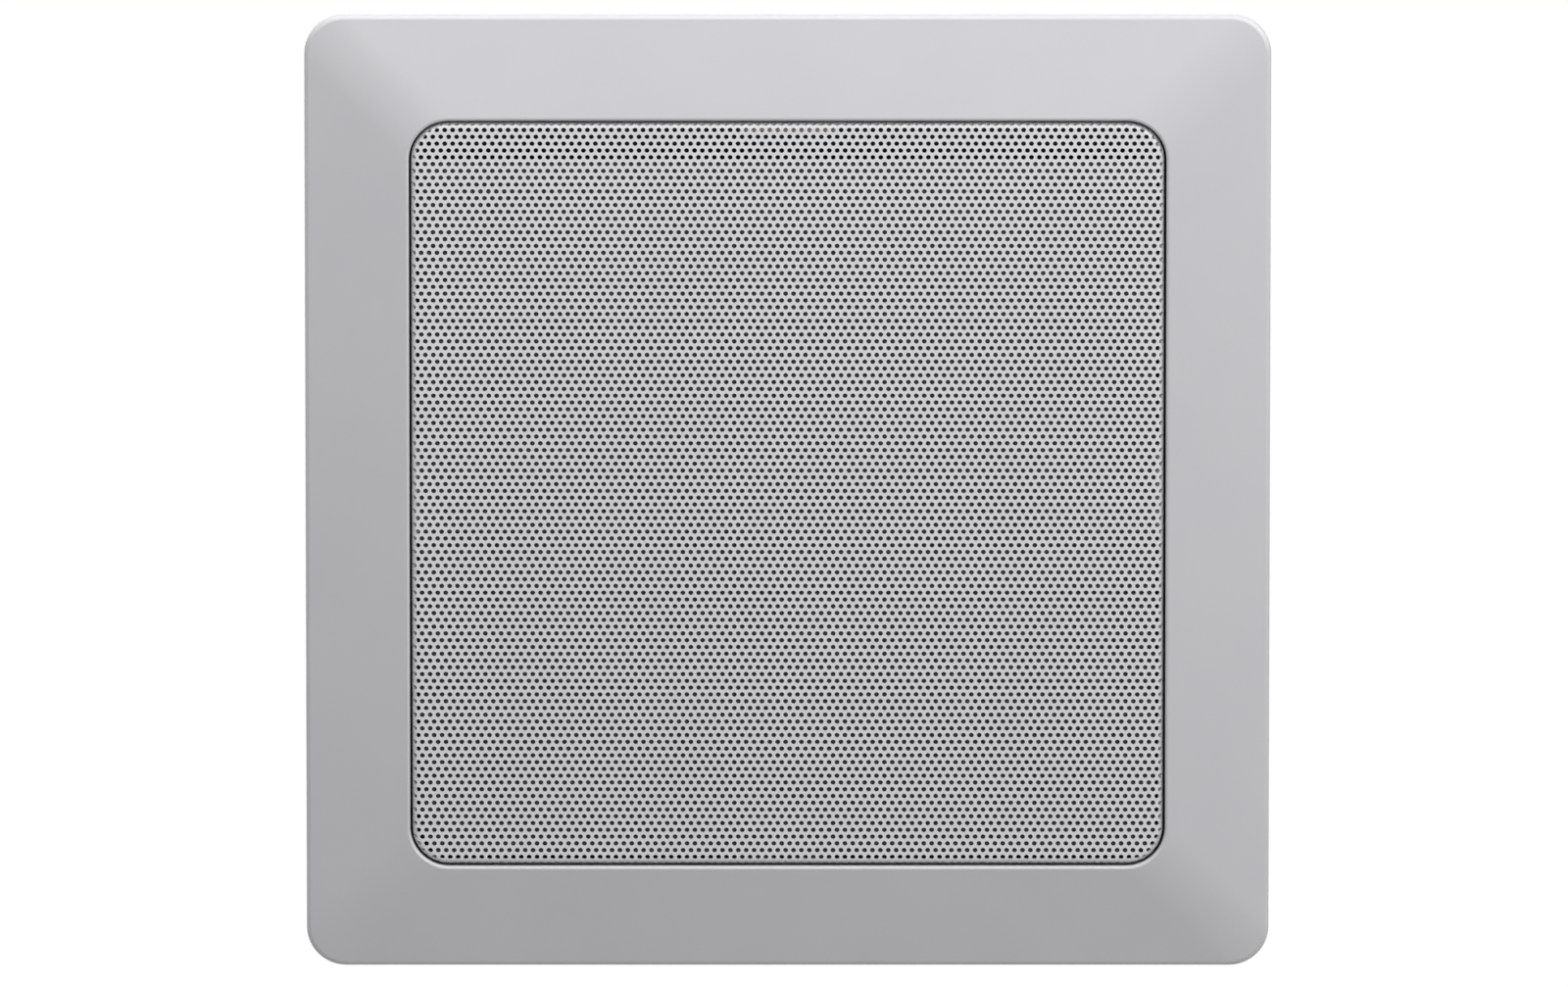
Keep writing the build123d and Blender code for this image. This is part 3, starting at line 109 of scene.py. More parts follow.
# studio: pale floor, white surroundings, large soft boxes high on the left, out on the right and low behind;
# floorGlow: what the floor shines by itself to the eye; ambient: light from all round
studio = {
    "floorLevel": -0.9, "floorSize": 40.0, "floorColour": "#DADADA", "floorGlow": 0.96, "ambient": 0.07,
    "boxes": {  # place, size in metres, watts
        "keyBox": ((-0.26, -0.345, 0.8), 1.2, 12.4),
        "sideBox": ((0.9, -0.52, 0.6), 0.9, 13.0),
        "backBox": ((-0.7, 1.6, 0.15), 2.5, 25.0),
    },
}


def seenDirectly(tree):  # 1 where the camera, a mirror or clear glass looks, 0 for light that falls on things
    ray = addNode(tree, "ShaderNodeLightPath", take=None)
    seen = addNode(tree, calc, {0: ray["Is Camera Ray"], 1: ray["Is Glossy Ray"]}, operation="MAXIMUM")
    return addNode(tree, calc, {0: seen, 1: ray["Is Transmission Ray"]}, operation="MAXIMUM")


def makeWorld():
    world = bpy.data.worlds.new("studioWorld")
    world.use_nodes = True
    tree = world.node_tree
    tree.nodes.clear()
    soft = addNode(tree, "ShaderNodeBackground", {"Color": (1, 1, 1, 1), "Strength": studio["ambient"]})
    white = addNode(tree, "ShaderNodeBackground", {"Color": (1, 1, 1, 1), "Strength": 1.0})
    both = addNode(tree, "ShaderNodeMixShader", {0: seenDirectly(tree), 1: soft, 2: white})
    addNode(tree, "ShaderNodeOutputWorld", {"Surface": both})
    scene.world = world


def makeFloor():
    half, level = studio["floorSize"] / 2, studio["floorLevel"]
    corners = [(-half, -half, level), (half, -half, level), (half, half, level), (-half, half, level)]
    mesh = bpy.data.meshes.new("studioFloor")
    mesh.from_pydata(corners, [], [(0, 1, 2, 3)])
    floor = addObject("studioFloor", mesh)
    material = bpy.data.materials.new("paleFloor")  # matt paper roll that reads white
    material.use_nodes = True
    tree = material.node_tree
    tree.nodes.clear()
    glow = addNode(tree, calc, {0: seenDirectly(tree), 1: studio["floorGlow"]}, operation="MULTIPLY")
    paper = addNode(tree, "ShaderNodeBsdfDiffuse", {"Color": hexLinear(studio["floorColour"])})
    lit = addNode(tree, "ShaderNodeEmission", {"Color": (1, 1, 1, 1), "Strength": glow})
    both = addNode(tree, "ShaderNodeAddShader", {0: paper, 1: lit})
    addNode(tree, "ShaderNodeOutputMaterial", {"Surface": both})
    mesh.materials.append(material)


def makeLamps():
    for name, (place, size, watts) in studio["boxes"].items():
        lamp = bpy.data.lights.new(name, "AREA")
        lamp.shape = "SQUARE"
        lamp.size = size
        lamp.energy = watts
        box = addObject(name, lamp)
        box.location = place
        box.rotation_euler = (-Vector(place)).to_track_quat("-Z", "Y").to_euler()
        box.visible_camera = False


makeWorld()
makeFloor()
makeLamps()
scene.view_settings.view_transform = "Standard"
print("studio set")

# finishes; tone: main and second colour, mottled over so many mm; grit: grain width and bump depth in mm;
# rough: least and most, over the grit; rings: spacing and depth in mm; soak: light that goes under the skin
finishes = {
    "silver_paint": {
        "name": "silverLacquerOnAbs", "tone": ("#BEBDC0", "#B8B7BB", 30.0), "grit": (0.55, 0.006),
        "rough": (0.46, 0.56), "metallic": 0.12},  # fine flake, soft even sheen
    "grille_steel": {
        "name": "silverPowderCoatOnSteel", "tone": ("#D4D4D6", "#CFCFD1", 18.0), "grit": (0.35, 0.008),
        "rough": (0.42, 0.52), "metallic": 0.12},  # dry satin coat with a slight peel
    "black_abs": {
        "name": "sparkTexturedBlackAbs", "tone": ("#212123", "#1B1B1D", 12.0), "grit": (0.45, 0.030),
        "rough": (0.48, 0.62)},  # eroded mould texture, broad grey highlights
    "turned_steel": {
        "name": "turnedZincSteel", "tone": ("#A9ACB0", "#989BA0", 9.0), "grit": (0.6, 0.004),
        "rough": (0.30, 0.42), "metallic": 1.0, "rings": (0.9, 0.012)},  # plated, with the lathe's rings
    "nickel_magnet": {
        "name": "nickelPlate", "tone": ("#C9C4BA", "#BDB8AE", 6.0), "grit": (0.8, 0.002),
        "rough": (0.16, 0.28), "metallic": 1.0},  # warm bright plating
    "zinc_steel": {
        "name": "zincPlatedSteel", "tone": ("#A9ACB0", "#94979C", 5.0), "grit": (0.6, 0.006),
        "rough": (0.28, 0.44), "metallic": 1.0},  # cool grey plating with faint clouds
    "basket_steel": {
        "name": "blackStovedEnamel", "tone": ("#1F1F21", "#19191B", 25.0), "grit": (0.9, 0.010),
        "rough": (0.28, 0.38), "coat": 0.25},  # smooth dark enamel over pressed steel
    "gasket_foam": {
        "name": "closedCellFoam", "tone": ("#202020", "#161616", 1.6), "grit": (0.7, 0.090),
        "rough": (0.85, 0.95)},  # dull, pitted with fine pores
    "surround_rubber": {
        "name": "butylRubber", "tone": ("#1C1C1E", "#232325", 14.0), "grit": (0.5, 0.008),
        "rough": (0.50, 0.62)},  # soft even black
    "former_foil": {
        "name": "aluminiumFoil", "tone": ("#D6D7DA", "#C9CACD", 4.0), "grit": (0.7, 0.004),
        "rough": (0.22, 0.34), "metallic": 1.0},  # thin bright foil
    "copper_wire": {
        "name": "enamelledCopper", "tone": ("#C0703C", "#A95C2C", 2.0), "grit": (0.4, 0.003),
        "rough": (0.24, 0.36), "metallic": 1.0, "coat": 0.4},  # amber varnish over copper
    "ferrite": {
        "name": "groundFerrite", "tone": ("#3A3A3C", "#303032", 3.0), "grit": (0.35, 0.020),
        "rough": (0.55, 0.72)},  # dark grey ceramic, finely ground
    "phenolic_board": {
        "name": "pressedPhenolic", "tone": ("#7A4A22", "#6A3D1A", 2.5), "grit": (0.5, 0.010),
        "rough": (0.42, 0.55)},  # brown paper laminate
    "brass_plain": {
        "name": "turnedBrass", "tone": ("#C9A65A", "#B99448", 3.0), "grit": (0.5, 0.004),
        "rough": (0.24, 0.38), "metallic": 1.0},  # yellow metal with a hand-dulled film
    "capacitor_sleeve": {
        "name": "shrinkSleeve", "tone": ("#31497F", "#2A4172", 9.0), "grit": (1.2, 0.008),
        "rough": (0.22, 0.32), "coat": 0.2},  # blue heat-shrunk film
    "resistor_body": {
        "name": "castCement", "tone": ("#DEDACC", "#CFCABA", 1.2), "grit": (0.4, 0.040),
        "rough": (0.75, 0.90)},  # chalky off-white with sand
    "red_plastic": {
        "name": "mouldedRedAbs", "tone": ("#B3201B", "#A51A17", 7.0), "grit": (0.4, 0.010),
        "rough": (0.30, 0.42)},  # plain glossy moulding
    "black_plastic": {
        "name": "mouldedBlackAbs", "tone": ("#1D1D1E", "#18181A", 7.0), "grit": (0.4, 0.010),
        "rough": (0.30, 0.42)},  # plain glossy moulding
    "nylon": {
        "name": "glassFilledNylon", "tone": ("#D7D3C4", "#CBC6B5", 2.2), "grit": (0.6, 0.020),
        "rough": (0.45, 0.60), "soak": 0.08},  # milky, faintly clouded by its glass fibre
    "lead_sheath": {
        "name": "pvcSheath", "tone": ("#232326", "#1D1D20", 6.0), "grit": (0.6, 0.008),
        "rough": (0.38, 0.50)},  # smooth soft insulation
}
turnedNodes = ("woofer_yoke", "woofer_top_plate", "tweeter_pole_plate")  # steel turned on a lathe
finishNoise = {"mottleDetail": 3.0, "gritDetail": 2.0, "gritLow": 0.3, "gritHigh": 0.7}
waveRate = 20.0  # radians that a wave texture runs through in one metre at scale 1


def startMaterial(name):
    material = bpy.data.materials.new(name)
    material.use_nodes = True
    material.node_tree.nodes.clear()
    return material, material.node_tree, addNode(material.node_tree, "ShaderNodeTexCoord", take="Object")


def endMaterial(material, values):
    skin = addNode(material.node_tree, "ShaderNodeBsdfPrincipled", values)
    addNode(material.node_tree, "ShaderNodeOutputMaterial", {"Surface": skin})
    return material


def mixTint(tree, share, first, second):  # from the first colour to the second, by sockets 6 and 7
    feeds = {"Factor": share, 6: hexLinear(first), 7: hexLinear(second)}
    return addNode(tree, "ShaderNodeMix", feeds, 2, data_type="RGBA")


def waveScale(period):  # the scale at which a wave texture repeats over so many mm
    return 2 * math.pi / (waveRate * period * mm)


def makeFinish(look):
    material, tree, place = startMaterial(look["name"])
    main, second, cloud = look["tone"]
    grain, depth = look["grit"]
    least, most = look["rough"]
    mottle = addNode(tree, "ShaderNodeTexNoise", {
        "Vector": place, "Scale": 1 / (cloud * mm), "Detail": finishNoise["mottleDetail"]})
    grit = addNode(tree, "ShaderNodeTexNoise", {
        "Vector": place, "Scale": 1 / (grain * mm), "Detail": finishNoise["gritDetail"]})
    dull = addNode(tree, "ShaderNodeMapRange", {
        "Value": grit, "From Min": finishNoise["gritLow"], "From Max": finishNoise["gritHigh"],
        "To Min": least, "To Max": most})
    relief = addNode(tree, "ShaderNodeBump", {"Height": grit, "Distance": depth * mm, "Strength": 1.0})
    if "rings" in look:  # tool marks round the driver's axis, drawn coarser than real ones so that they show
        spacing, cut = look["rings"]
        marks = addNode(tree, "ShaderNodeTexWave", {"Vector": place, "Scale": waveScale(spacing)}, 1,
                        wave_type="RINGS", rings_direction="Y")
        relief = addNode(tree, "ShaderNodeBump", {"Height": marks, "Distance": cut * mm, "Normal": relief})
    return endMaterial(material, {
        "Base Color": mixTint(tree, mottle, main, second), "Roughness": dull, "Normal": relief,
        "Metallic": look.get("metallic", 0.0), "Coat Weight": look.get("coat", 0.0),
        "Subsurface Weight": look.get("soak", 0.0), "Subsurface Scale": mm})


# thread: spacing of the yarns in mm, drawn as coarse as it needs to show; depth: of the weave in mm; colours:
# the raised yarns' tone with a painted highlight, then the sunk yarns' tone with painted shade
cloths = {
    "scrim_cloth": {
        "name": "blackScrimCloth", "thread": 0.55, "colours": ("#5C5C5F", "#3A3A3C"), "depth": 0.10,
        "rough": 0.9, "sheen": 0.15},  # open polyester net, dark grey, painted lighter grey on the raised yarns as a highlight
    "spider_cloth": {
        "name": "varnishedCotton", "thread": 0.7, "colours": ("#C79A4E", "#9A6E2C"), "depth": 0.08,
        "rough": 0.55, "sheen": 0.0},  # stiff amber cloth
    "dome_cloth": {
        "name": "dopedSilk", "thread": 0.35, "colours": ("#2B2B2E", "#1C1C1F"), "depth": 0.03,
        "rough": 0.45, "sheen": 0.0},  # fine dark weave under a tacky coat
    "circuit_board": {
        "name": "lacqueredGlassBoard", "thread": 0.8, "colours": ("#2F6A42", "#285C39"), "depth": 0.01,
        "rough": 0.30, "sheen": 0.0},  # green lacquer with the glass cloth showing through
}


def makeCloth(look):
    material, tree, place = startMaterial(look["name"])
    raisedYarnTintAndHighlight, sunkYarnTintAndShade = look["colours"]
    feeds = {"Vector": place, "Scale": waveScale(2 * look["thread"])}
    warp = addNode(tree, "ShaderNodeTexWave", feeds, 1, bands_direction="X")
    weft = addNode(tree, "ShaderNodeTexWave", feeds, 1, bands_direction="Z")
    weave = addNode(tree, "ShaderNodeTexChecker", {"Vector": place, "Scale": 1 / (look["thread"] * mm)}, 1)
    over = addNode(tree, "ShaderNodeMix", {0: weave, 2: warp, 3: weft}, data_type="FLOAT")  # over and under
    relief = addNode(tree, "ShaderNodeBump", {"Height": over, "Distance": look["depth"] * mm})
    return endMaterial(material, {
        # base colour: the weave's own tones, painted lighter on the raised yarns and darker on the sunk ones
        # as painted highlight and shade
        "Base Color": mixTint(tree, over, sunkYarnTintAndShade, raisedYarnTintAndHighlight), "Normal": relief, "Roughness": look["rough"],
        "Sheen Weight": look["sheen"]})


# pressed paper: soft fibres under a thin coat; fibre, fuzz and depth in mm
conePulp = {"name": "coatedPulp", "tone": ("#303033", "#242427"), "fibre": 1.1, "fuzz": 0.55,
            "fuzzDetail": 4.0, "fuzzBend": 1.5, "depth": 0.05, "rough": (0.6, 0.8)}


def makePulp(look):
    material, tree, place = startMaterial(look["name"])
    main, second = look["tone"]
    least, most = look["rough"]
    fibre = addNode(tree, "ShaderNodeTexVoronoi", {"Vector": place, "Scale": 1 / (look["fibre"] * mm)},
                    feature="DISTANCE_TO_EDGE")
    fuzz = addNode(tree, "ShaderNodeTexNoise", {
        "Vector": place, "Scale": 1 / (look["fuzz"] * mm), "Detail": look["fuzzDetail"],
        "Distortion": look["fuzzBend"]})
    felt = addNode(tree, calc, {0: fibre, 1: fuzz}, operation="ADD")
    dull = addNode(tree, "ShaderNodeMapRange", {"Value": fuzz, "To Min": least, "To Max": most})
    relief = addNode(tree, "ShaderNodeBump", {"Height": felt, "Distance": look["depth"] * mm})
    return endMaterial(material, {
        "Base Color": mixTint(tree, fuzz, main, second), "Roughness": dull, "Normal": relief})


materials = {slotName: makeFinish(look) for slotName, look in finishes.items()}
materials.update({slotName: makeCloth(look) for slotName, look in cloths.items()})
materials["cone_paper"] = makePulp(conePulp)
for row in frame["record"]["subparts"]:
    finish = "turned_steel" if row["node"] in turnedNodes else row["material_slot"]
    shell = nodes[row["node"]].data
    shell.materials.clear()
    shell.materials.append(materials[finish])
print("finishes made:", len(materials))

# makers that the pieces share; edges that turn by more than so many degrees stay sharp
sharpAngles = {"turned": 40, "thread": 40, "sheet": 50, "leg": 50, "dab": 60, "wire": 65, "foam": 80}
routeShape = {"steps": 10, "order": 3}  # smoothness of a curve along a route


def settleMesh(mesh, kind):  # outward faces, smooth up to an angle
    work = bmesh.new()
    work.from_mesh(mesh)
    bmesh.ops.remove_doubles(work, verts=work.verts, dist=weld)
    bmesh.ops.recalc_face_normals(work, faces=work.faces)
    limit = math.radians(sharpAngles[kind])
    for edge in work.edges:
        edge.smooth = len(edge.link_faces) == 2 and edge.calc_face_angle(0) < limit
    for face in work.faces:
        face.smooth = True
    work.to_mesh(mesh)
    work.free()


def weldedNode(node):  # a working copy of a CAD mesh with its seams closed
    work = bmesh.new()
    work.from_mesh(nodes[node].data)
    bmesh.ops.remove_doubles(work, verts=work.verts, dist=weld)
    return work


def inMetres(point):
    return tuple(c * mm for c in point)


def boxInMm(node):
    return [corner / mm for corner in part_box(node)]


def meshFrom(name, points, edges=(), faces=()):  # points in mm
    mesh = bpy.data.meshes.new(name)
    mesh.from_pydata([inMetres(point) for point in points], edges, faces)
    return mesh


# a piece that rides on one body, or is left loose if there is none
def placePiece(name, shape, body, slotName, *stoodFor):
    piece = addObject(name, shape)
    if not shape.materials:
        shape.materials.append(materials[slotName])
    if body:
        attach(piece, body)
    if stoodFor:
        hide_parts(*stoodFor)
    return piece


def solvedMesh(host, name):  # works the host's modifiers into a plain mesh and takes the host away
    solved = host.evaluated_get(bpy.context.evaluated_depsgraph_get())
    mesh = bpy.data.meshes.new_from_object(solved)
    host.modifiers.clear()
    bpy.data.objects.remove(host)
    mesh.name = name
    return mesh


def grownMesh(name, seed, tree, values):  # runs a Geometry Nodes tree on a seed mesh
    host = addObject(name, seed)
    modifier = host.modifiers.new(name, "NODES")
    modifier.node_group = tree
    for item in tree.interface.items_tree:
        if item.item_type == "SOCKET" and item.in_out == "INPUT" and item.name in values:
            modifier[item.identifier] = values[item.name]
    return solvedMesh(host, name)


def startTree(name, sockets):  # a Geometry Nodes tree with named inputs
    tree = bpy.data.node_groups.new(name, "GeometryNodeTree")
    tree.interface.new_socket("Geometry", in_out="INPUT", socket_type="NodeSocketGeometry")
    for label, kind in sockets.items():
        tree.interface.new_socket(label, in_out="INPUT", socket_type="NodeSocket" + kind)
    tree.interface.new_socket("Geometry", in_out="OUTPUT", socket_type="NodeSocketGeometry")
    return tree, addNode(tree, "NodeGroupInput", take=None)


def endTree(tree, geometry, material):
    whole = addNode(tree, "GeometryNodeRealizeInstances", {0: geometry})
    painted = addNode(tree, "GeometryNodeSetMaterial", {"Geometry": whole, "Material": material})
    addNode(tree, "NodeGroupOutput", {0: painted})


def circleLine(tree, sides, radius):
    return addNode(tree, "GeometryNodeCurvePrimitiveCircle", {"Resolution": sides, "Radius": radius})


def spiralLine(tree, steps, turns, radius, height):
    return addNode(tree, "GeometryNodeCurveSpiral", {
        "Resolution": steps, "Rotations": turns, "Start Radius": radius, "End Radius": radius,
        "Height": height})


def sweptMesh(tree, line, section):  # a section drawn along a line, with closed ends
    return addNode(tree, "GeometryNodeCurveToMesh", {0: line, 1: section, "Fill Caps": True})


def routeCurve(name, route):  # a smooth line that the route's points pull
    curve = bpy.data.curves.new(name, "CURVE")
    curve.dimensions = "3D"
    curve.resolution_u = routeShape["steps"]
    spline = curve.splines.new("NURBS")
    spline.points.add(len(route) - 1)
    for point, place in zip(spline.points, route):
        point.co = inMetres(place) + (1.0,)
    spline.order_u = routeShape["order"]
    spline.use_endpoint_u = True
    return curve


# a closed outline of (r, y) points turned about the driver's axis, wholly or through a part of the round
def turnedMesh(name, profile, steps, start=0.0, sweep=360.0):
    whole, count = sweep >= 360, len(profile)
    rounds = steps if whole else steps + 1
    points, faces = [], []
    for step in range(rounds):
        angle = math.radians(start + sweep * step / steps)
        points += [(r * math.cos(angle), y, r * math.sin(angle)) for r, y in profile]
    for step in range(steps):
        here, there = step * count, (step + 1) % rounds * count
        for i in range(count):
            after = (i + 1) % count
            faces.append((here + i, here + after, there + after, there + i))
    if not whole:  # the two cut ends
        faces += [tuple(range(count)), tuple(range(steps * count, rounds * count))]
    mesh = meshFrom(name, points, faces=faces)
    settleMesh(mesh, "turned")
    return mesh


# (r, y) points round an arc, angles in degrees from +r towards +y
def arcPoints(middle, radius, first, last, steps):
    turns = [math.radians(first + (last - first) * step / steps) for step in range(steps + 1)]
    return [(middle[0] + radius * math.cos(turn), middle[1] + radius * math.sin(turn)) for turn in turns]


# perforated grille: a punched and painted steel tray, made in four bands of rows; sizes in mm
grille = {
    "half": 95.0, "corner": 9.4, "front": -5.8, "sheet": 0.8, "bend": 1.4, "back": 0.0, "weld": 0.01,
    "pitch": 2.0, "rowPitch": 1.743, "hole": 1.28, "holeSides": 10, "margin": 0.15, "bands": 4,
    "lineEdge": 7.4, "lineSteps": 14,  # the outline's points close up over this last stretch, which bends
    "cornerSteps": 5, "spareColumns": 2,
}


def roundedSquareField(tree, point, half, corner):  # distance past a rounded square, and the way out of it
    core = addNode(tree, calc, {0: half, 1: corner}, operation="SUBTRACT")
    inner = addNode(tree, "ShaderNodeCombineXYZ", {"X": core, "Y": core})
    size = addNode(tree, vect, {0: point}, operation="ABSOLUTE")
    over = addNode(tree, vect, {0: size, 1: inner}, operation="SUBTRACT")
    over = addNode(tree, vect, {0: over}, operation="MAXIMUM")
    length = addNode(tree, vect, {0: over}, "Value", operation="LENGTH")
    past = addNode(tree, calc, {0: length, 1: corner}, operation="SUBTRACT")
    side = addNode(tree, vect, {0: point}, operation="SIGN")
    way = addNode(tree, vect, {0: over}, operation="NORMALIZE")
    return past, addNode(tree, vect, {0: way, 1: side}, operation="MULTIPLY")


def perforatedSheetTree():
    tree, ask = startTree("perforatedSheet", {
        "Pitch": "Float", "Row Pitch": "Float", "Hole Radius": "Float", "Hole Sides": "Int",
        "Hole Reach": "Float", "First Row": "Int", "Count": "Int", "Columns": "Int", "First Hole": "Vector",
        "Sheet": "Float", "Bend": "Float", "Flat Half": "Float", "Flat Corner": "Float", "Front": "Float",
        "Paint": "Material"})
    here = addNode(tree, "GeometryNodeInputPosition")
    # a staggered lattice of points, counted row by row
    index = addNode(tree, "GeometryNodeInputIndex")
    column = addNode(tree, calc, {0: index, 1: ask["Columns"]}, operation="FLOORED_MODULO")
    row = addNode(tree, calc, {0: index, 1: ask["Columns"]}, operation="DIVIDE")
    row = addNode(tree, calc, {0: row}, operation="FLOOR")
    row = addNode(tree, calc, {0: row, 1: ask["First Row"]}, operation="ADD")
    odd = addNode(tree, calc, {0: row, 1: 2.0}, operation="FLOORED_MODULO")
    across = addNode(tree, calc, {0: odd, 1: 0.5, 2: column}, operation="MULTIPLY_ADD")
    count = addNode(tree, "ShaderNodeCombineXYZ", {"X": across, "Y": row})
    step = addNode(tree, "ShaderNodeCombineXYZ", {"X": ask["Pitch"], "Y": ask["Row Pitch"]})
    spot = addNode(tree, vect, {0: count, 1: step, 2: ask["First Hole"]}, operation="MULTIPLY_ADD")
    points = addNode(tree, "GeometryNodePoints", {"Count": ask["Count"], "Position": spot})
    past = roundedSquareField(tree, here, ask["Flat Half"], ask["Flat Corner"])[0]
    outside = addNode(tree, calc, {0: past, 1: ask["Hole Reach"]}, operation="GREATER_THAN")
    points = addNode(tree, "GeometryNodeDeleteGeometry", {0: points, 1: outside}, domain="POINT")
    # round holes punched out of the flat sheet; each row is filled by itself, which is quick
    ring = circleLine(tree, ask["Hole Sides"], ask["Hole Radius"])
    rings = addNode(tree, "GeometryNodeInstanceOnPoints", {"Points": points, "Instance": ring})
    rings = addNode(tree, "GeometryNodeRealizeInstances", {0: rings})
    outline = addNode(tree, "GeometryNodeMeshToCurve", {0: ask["Geometry"]})
    cuts = addNode(tree, "GeometryNodeJoinGeometry", {0: [rings, outline]})
    level = addNode(tree, "ShaderNodeSeparateXYZ", {0: here}, "Y")
    level = addNode(tree, calc, {0: level, 1: ask["Row Pitch"]}, operation="DIVIDE")
    strip = addNode(tree, calc, {0: level}, operation="FLOOR")
    flat = addNode(tree, "GeometryNodeFillCurve", {0: cuts, "Group ID": strip})
    thick = addNode(tree, "ShaderNodeCombineXYZ", {"Z": ask["Sheet"]})
    walls = addNode(tree, "GeometryNodeExtrudeMesh", {"Mesh": flat, "Offset": thick, "Individual": False})
    face = addNode(tree, "GeometryNodeFlipFaces", {0: flat})
    solid = addNode(tree, "GeometryNodeJoinGeometry", {0: [walls, face]})
    solid = addNode(tree, "GeometryNodeMergeByDistance", {0: solid, "Distance": grille["weld"] * mm})
    # the edges are folded back round the bend and the sheet is stood up in the frame
    apart = addNode(tree, "ShaderNodeSeparateXYZ", {0: here}, None)
    level = addNode(tree, "ShaderNodeCombineXYZ", {"X": apart["X"], "Y": apart["Y"]})
    past, way = roundedSquareField(tree, level, ask["Flat Half"], ask["Flat Corner"])
    run = addNode(tree, calc, {0: past, 1: 0.0}, operation="MAXIMUM")
    turn = addNode(tree, calc, {0: run, 1: ask["Bend"]}, operation="DIVIDE")
    turn = addNode(tree, calc, {0: turn, 1: math.pi / 2}, operation="MINIMUM")
    tail = addNode(tree, calc, {0: ask["Bend"], 1: -math.pi / 2, 2: run}, operation="MULTIPLY_ADD")
    tail = addNode(tree, calc, {0: tail, 1: 0.0}, operation="MAXIMUM")
    arm = addNode(tree, calc, {0: ask["Bend"], 1: apart["Z"]}, operation="SUBTRACT")
    sine = addNode(tree, calc, {0: turn}, operation="SINE")
    reach = addNode(tree, calc, {0: arm, 1: sine}, operation="MULTIPLY")
    reach = addNode(tree, calc, {0: reach, 1: run}, operation="SUBTRACT")
    moved = addNode(tree, vect, {0: way, "Scale": reach}, operation="SCALE")
    moved = addNode(tree, vect, {0: level, 1: moved}, operation="ADD")
    moved = addNode(tree, "ShaderNodeSeparateXYZ", {0: moved}, None)
    cosine = addNode(tree, calc, {0: turn}, operation="COSINE")
    lift = addNode(tree, calc, {0: arm, 1: cosine}, operation="MULTIPLY")
    sink = addNode(tree, calc, {0: ask["Bend"], 1: lift}, operation="SUBTRACT")
    sink = addNode(tree, calc, {0: sink, 1: tail}, operation="ADD")
    sink = addNode(tree, calc, {0: sink, 1: ask["Front"]}, operation="ADD")
    stood = addNode(tree, "ShaderNodeCombineXYZ", {"X": moved["X"], "Y": sink, "Z": moved["Y"]})
    solid = addNode(tree, "GeometryNodeSetPosition", {"Geometry": solid, "Position": stood})
    endTree(tree, solid, ask["Paint"])
    return tree


# closed outline of the strip of flat sheet that holds one row of holes
def stripOutline(half, corner, low, high):
    turnAt = half - corner

    def reachAt(level):
        over = min(max(abs(level) - turnAt, 0.0), corner)
        return turnAt + math.sqrt(corner ** 2 - over ** 2)

    def lineAt(level):  # from left to right, closer together where the sheet bends
        reach = reachAt(level)
        inner = min(reach, half - grille["lineEdge"])
        steps = max(1, round(inner / (grille["pitch"] / 2)))
        right = [inner * step / steps for step in range(steps + 1)]
        if reach > inner:
            right += [inner + (reach - inner) * step / grille["lineSteps"]
                      for step in range(1, grille["lineSteps"] + 1)]
        return [-x for x in reversed(right[1:])] + right

    angles = [math.asin(max(-1.0, min(1.0, (abs(level) - turnAt) / corner))) for level in (low, high)]
    side = []
    if max(angles) > 0:  # a corner strip follows the rounded corner
        sign = 1 if high > 0 else -1
        first, last = (max(angle, 0.0) for angle in angles)
        for step in range(1, grille["cornerSteps"]):
            level = turnAt + corner * math.sin(first + (last - first) * step / grille["cornerSteps"])
            side.append((reachAt(level), sign * level))
    bottom = [(x, low) for x in lineAt(low)]
    top = [(x, high) for x in reversed(lineAt(high))]
    return bottom + side + top + [(-x, y) for x, y in reversed(side)]


def makeGrille():
    pitch, rowPitch, hole, bands = grille["pitch"], grille["rowPitch"], grille["hole"], grille["bands"]
    flatHalf, flatCorner = grille["half"] - grille["bend"], grille["corner"] - grille["bend"]
    run = grille["bend"] * math.pi / 2 + grille["back"] - grille["front"] - grille["bend"]
    half, corner = flatHalf + run, flatCorner + run
    rowsUp = int((half - hole / 2 - grille["margin"]) / rowPitch + 0.5)
    columns = int(2 * half / pitch) + grille["spareColumns"]
    # odd rows stand half a pitch aside, so the lattice is centred a quarter of a pitch off
    firstHole = (-((columns - 1) / 2 + 0.25) * pitch * mm, rowPitch / 2 * mm, 0)
    tree = perforatedSheetTree()
    starts = [round(-rowsUp + 2 * rowsUp * band / bands) for band in range(bands + 1)]
    for band, (first, last) in enumerate(zip(starts, starts[1:])):
        points, edges = [], []
        for row in range(first, last):
            low = -half if row == -rowsUp else row * rowPitch
            high = half if row == rowsUp - 1 else (row + 1) * rowPitch
            outline = stripOutline(half, corner, low, high)
            start, count = len(points), len(outline)
            points += [(x, y, 0) for x, y in outline]
            edges += [(start + i, start + (i + 1) % count) for i in range(count)]
        mesh = grownMesh("grilleSheet%d" % (band + 1), meshFrom("grilleOutline", points, edges), tree, {
            "Pitch": pitch * mm, "Row Pitch": rowPitch * mm, "Hole Radius": hole / 2 * mm,
            "Hole Sides": grille["holeSides"], "Hole Reach": (run - hole / 2 - grille["margin"]) * mm,
            "First Row": first, "Count": (last - first) * columns, "Columns": columns,
            "First Hole": firstHole, "Sheet": grille["sheet"] * mm, "Bend": grille["bend"] * mm,
            "Flat Half": flatHalf * mm, "Flat Corner": flatCorner * mm, "Front": grille["front"] * mm,
            "Paint": materials["grille_steel"]})
        settleMesh(mesh, "sheet")
        placePiece(mesh.name, mesh, "chassis", "grille_steel", "grille")
        print("grille band", band + 1, len(mesh.polygons), "faces")


makeGrille()

# scrim: thin cloth glued behind the perforations, cut short of the top edge
scrim = {"corner": 8.2, "thick": 0.2, "topTrim": 1.6, "rows": 60, "columns": 60, "cornerRows": 8,
         "ripple": 0.07, "rippleWidth": 16.0}


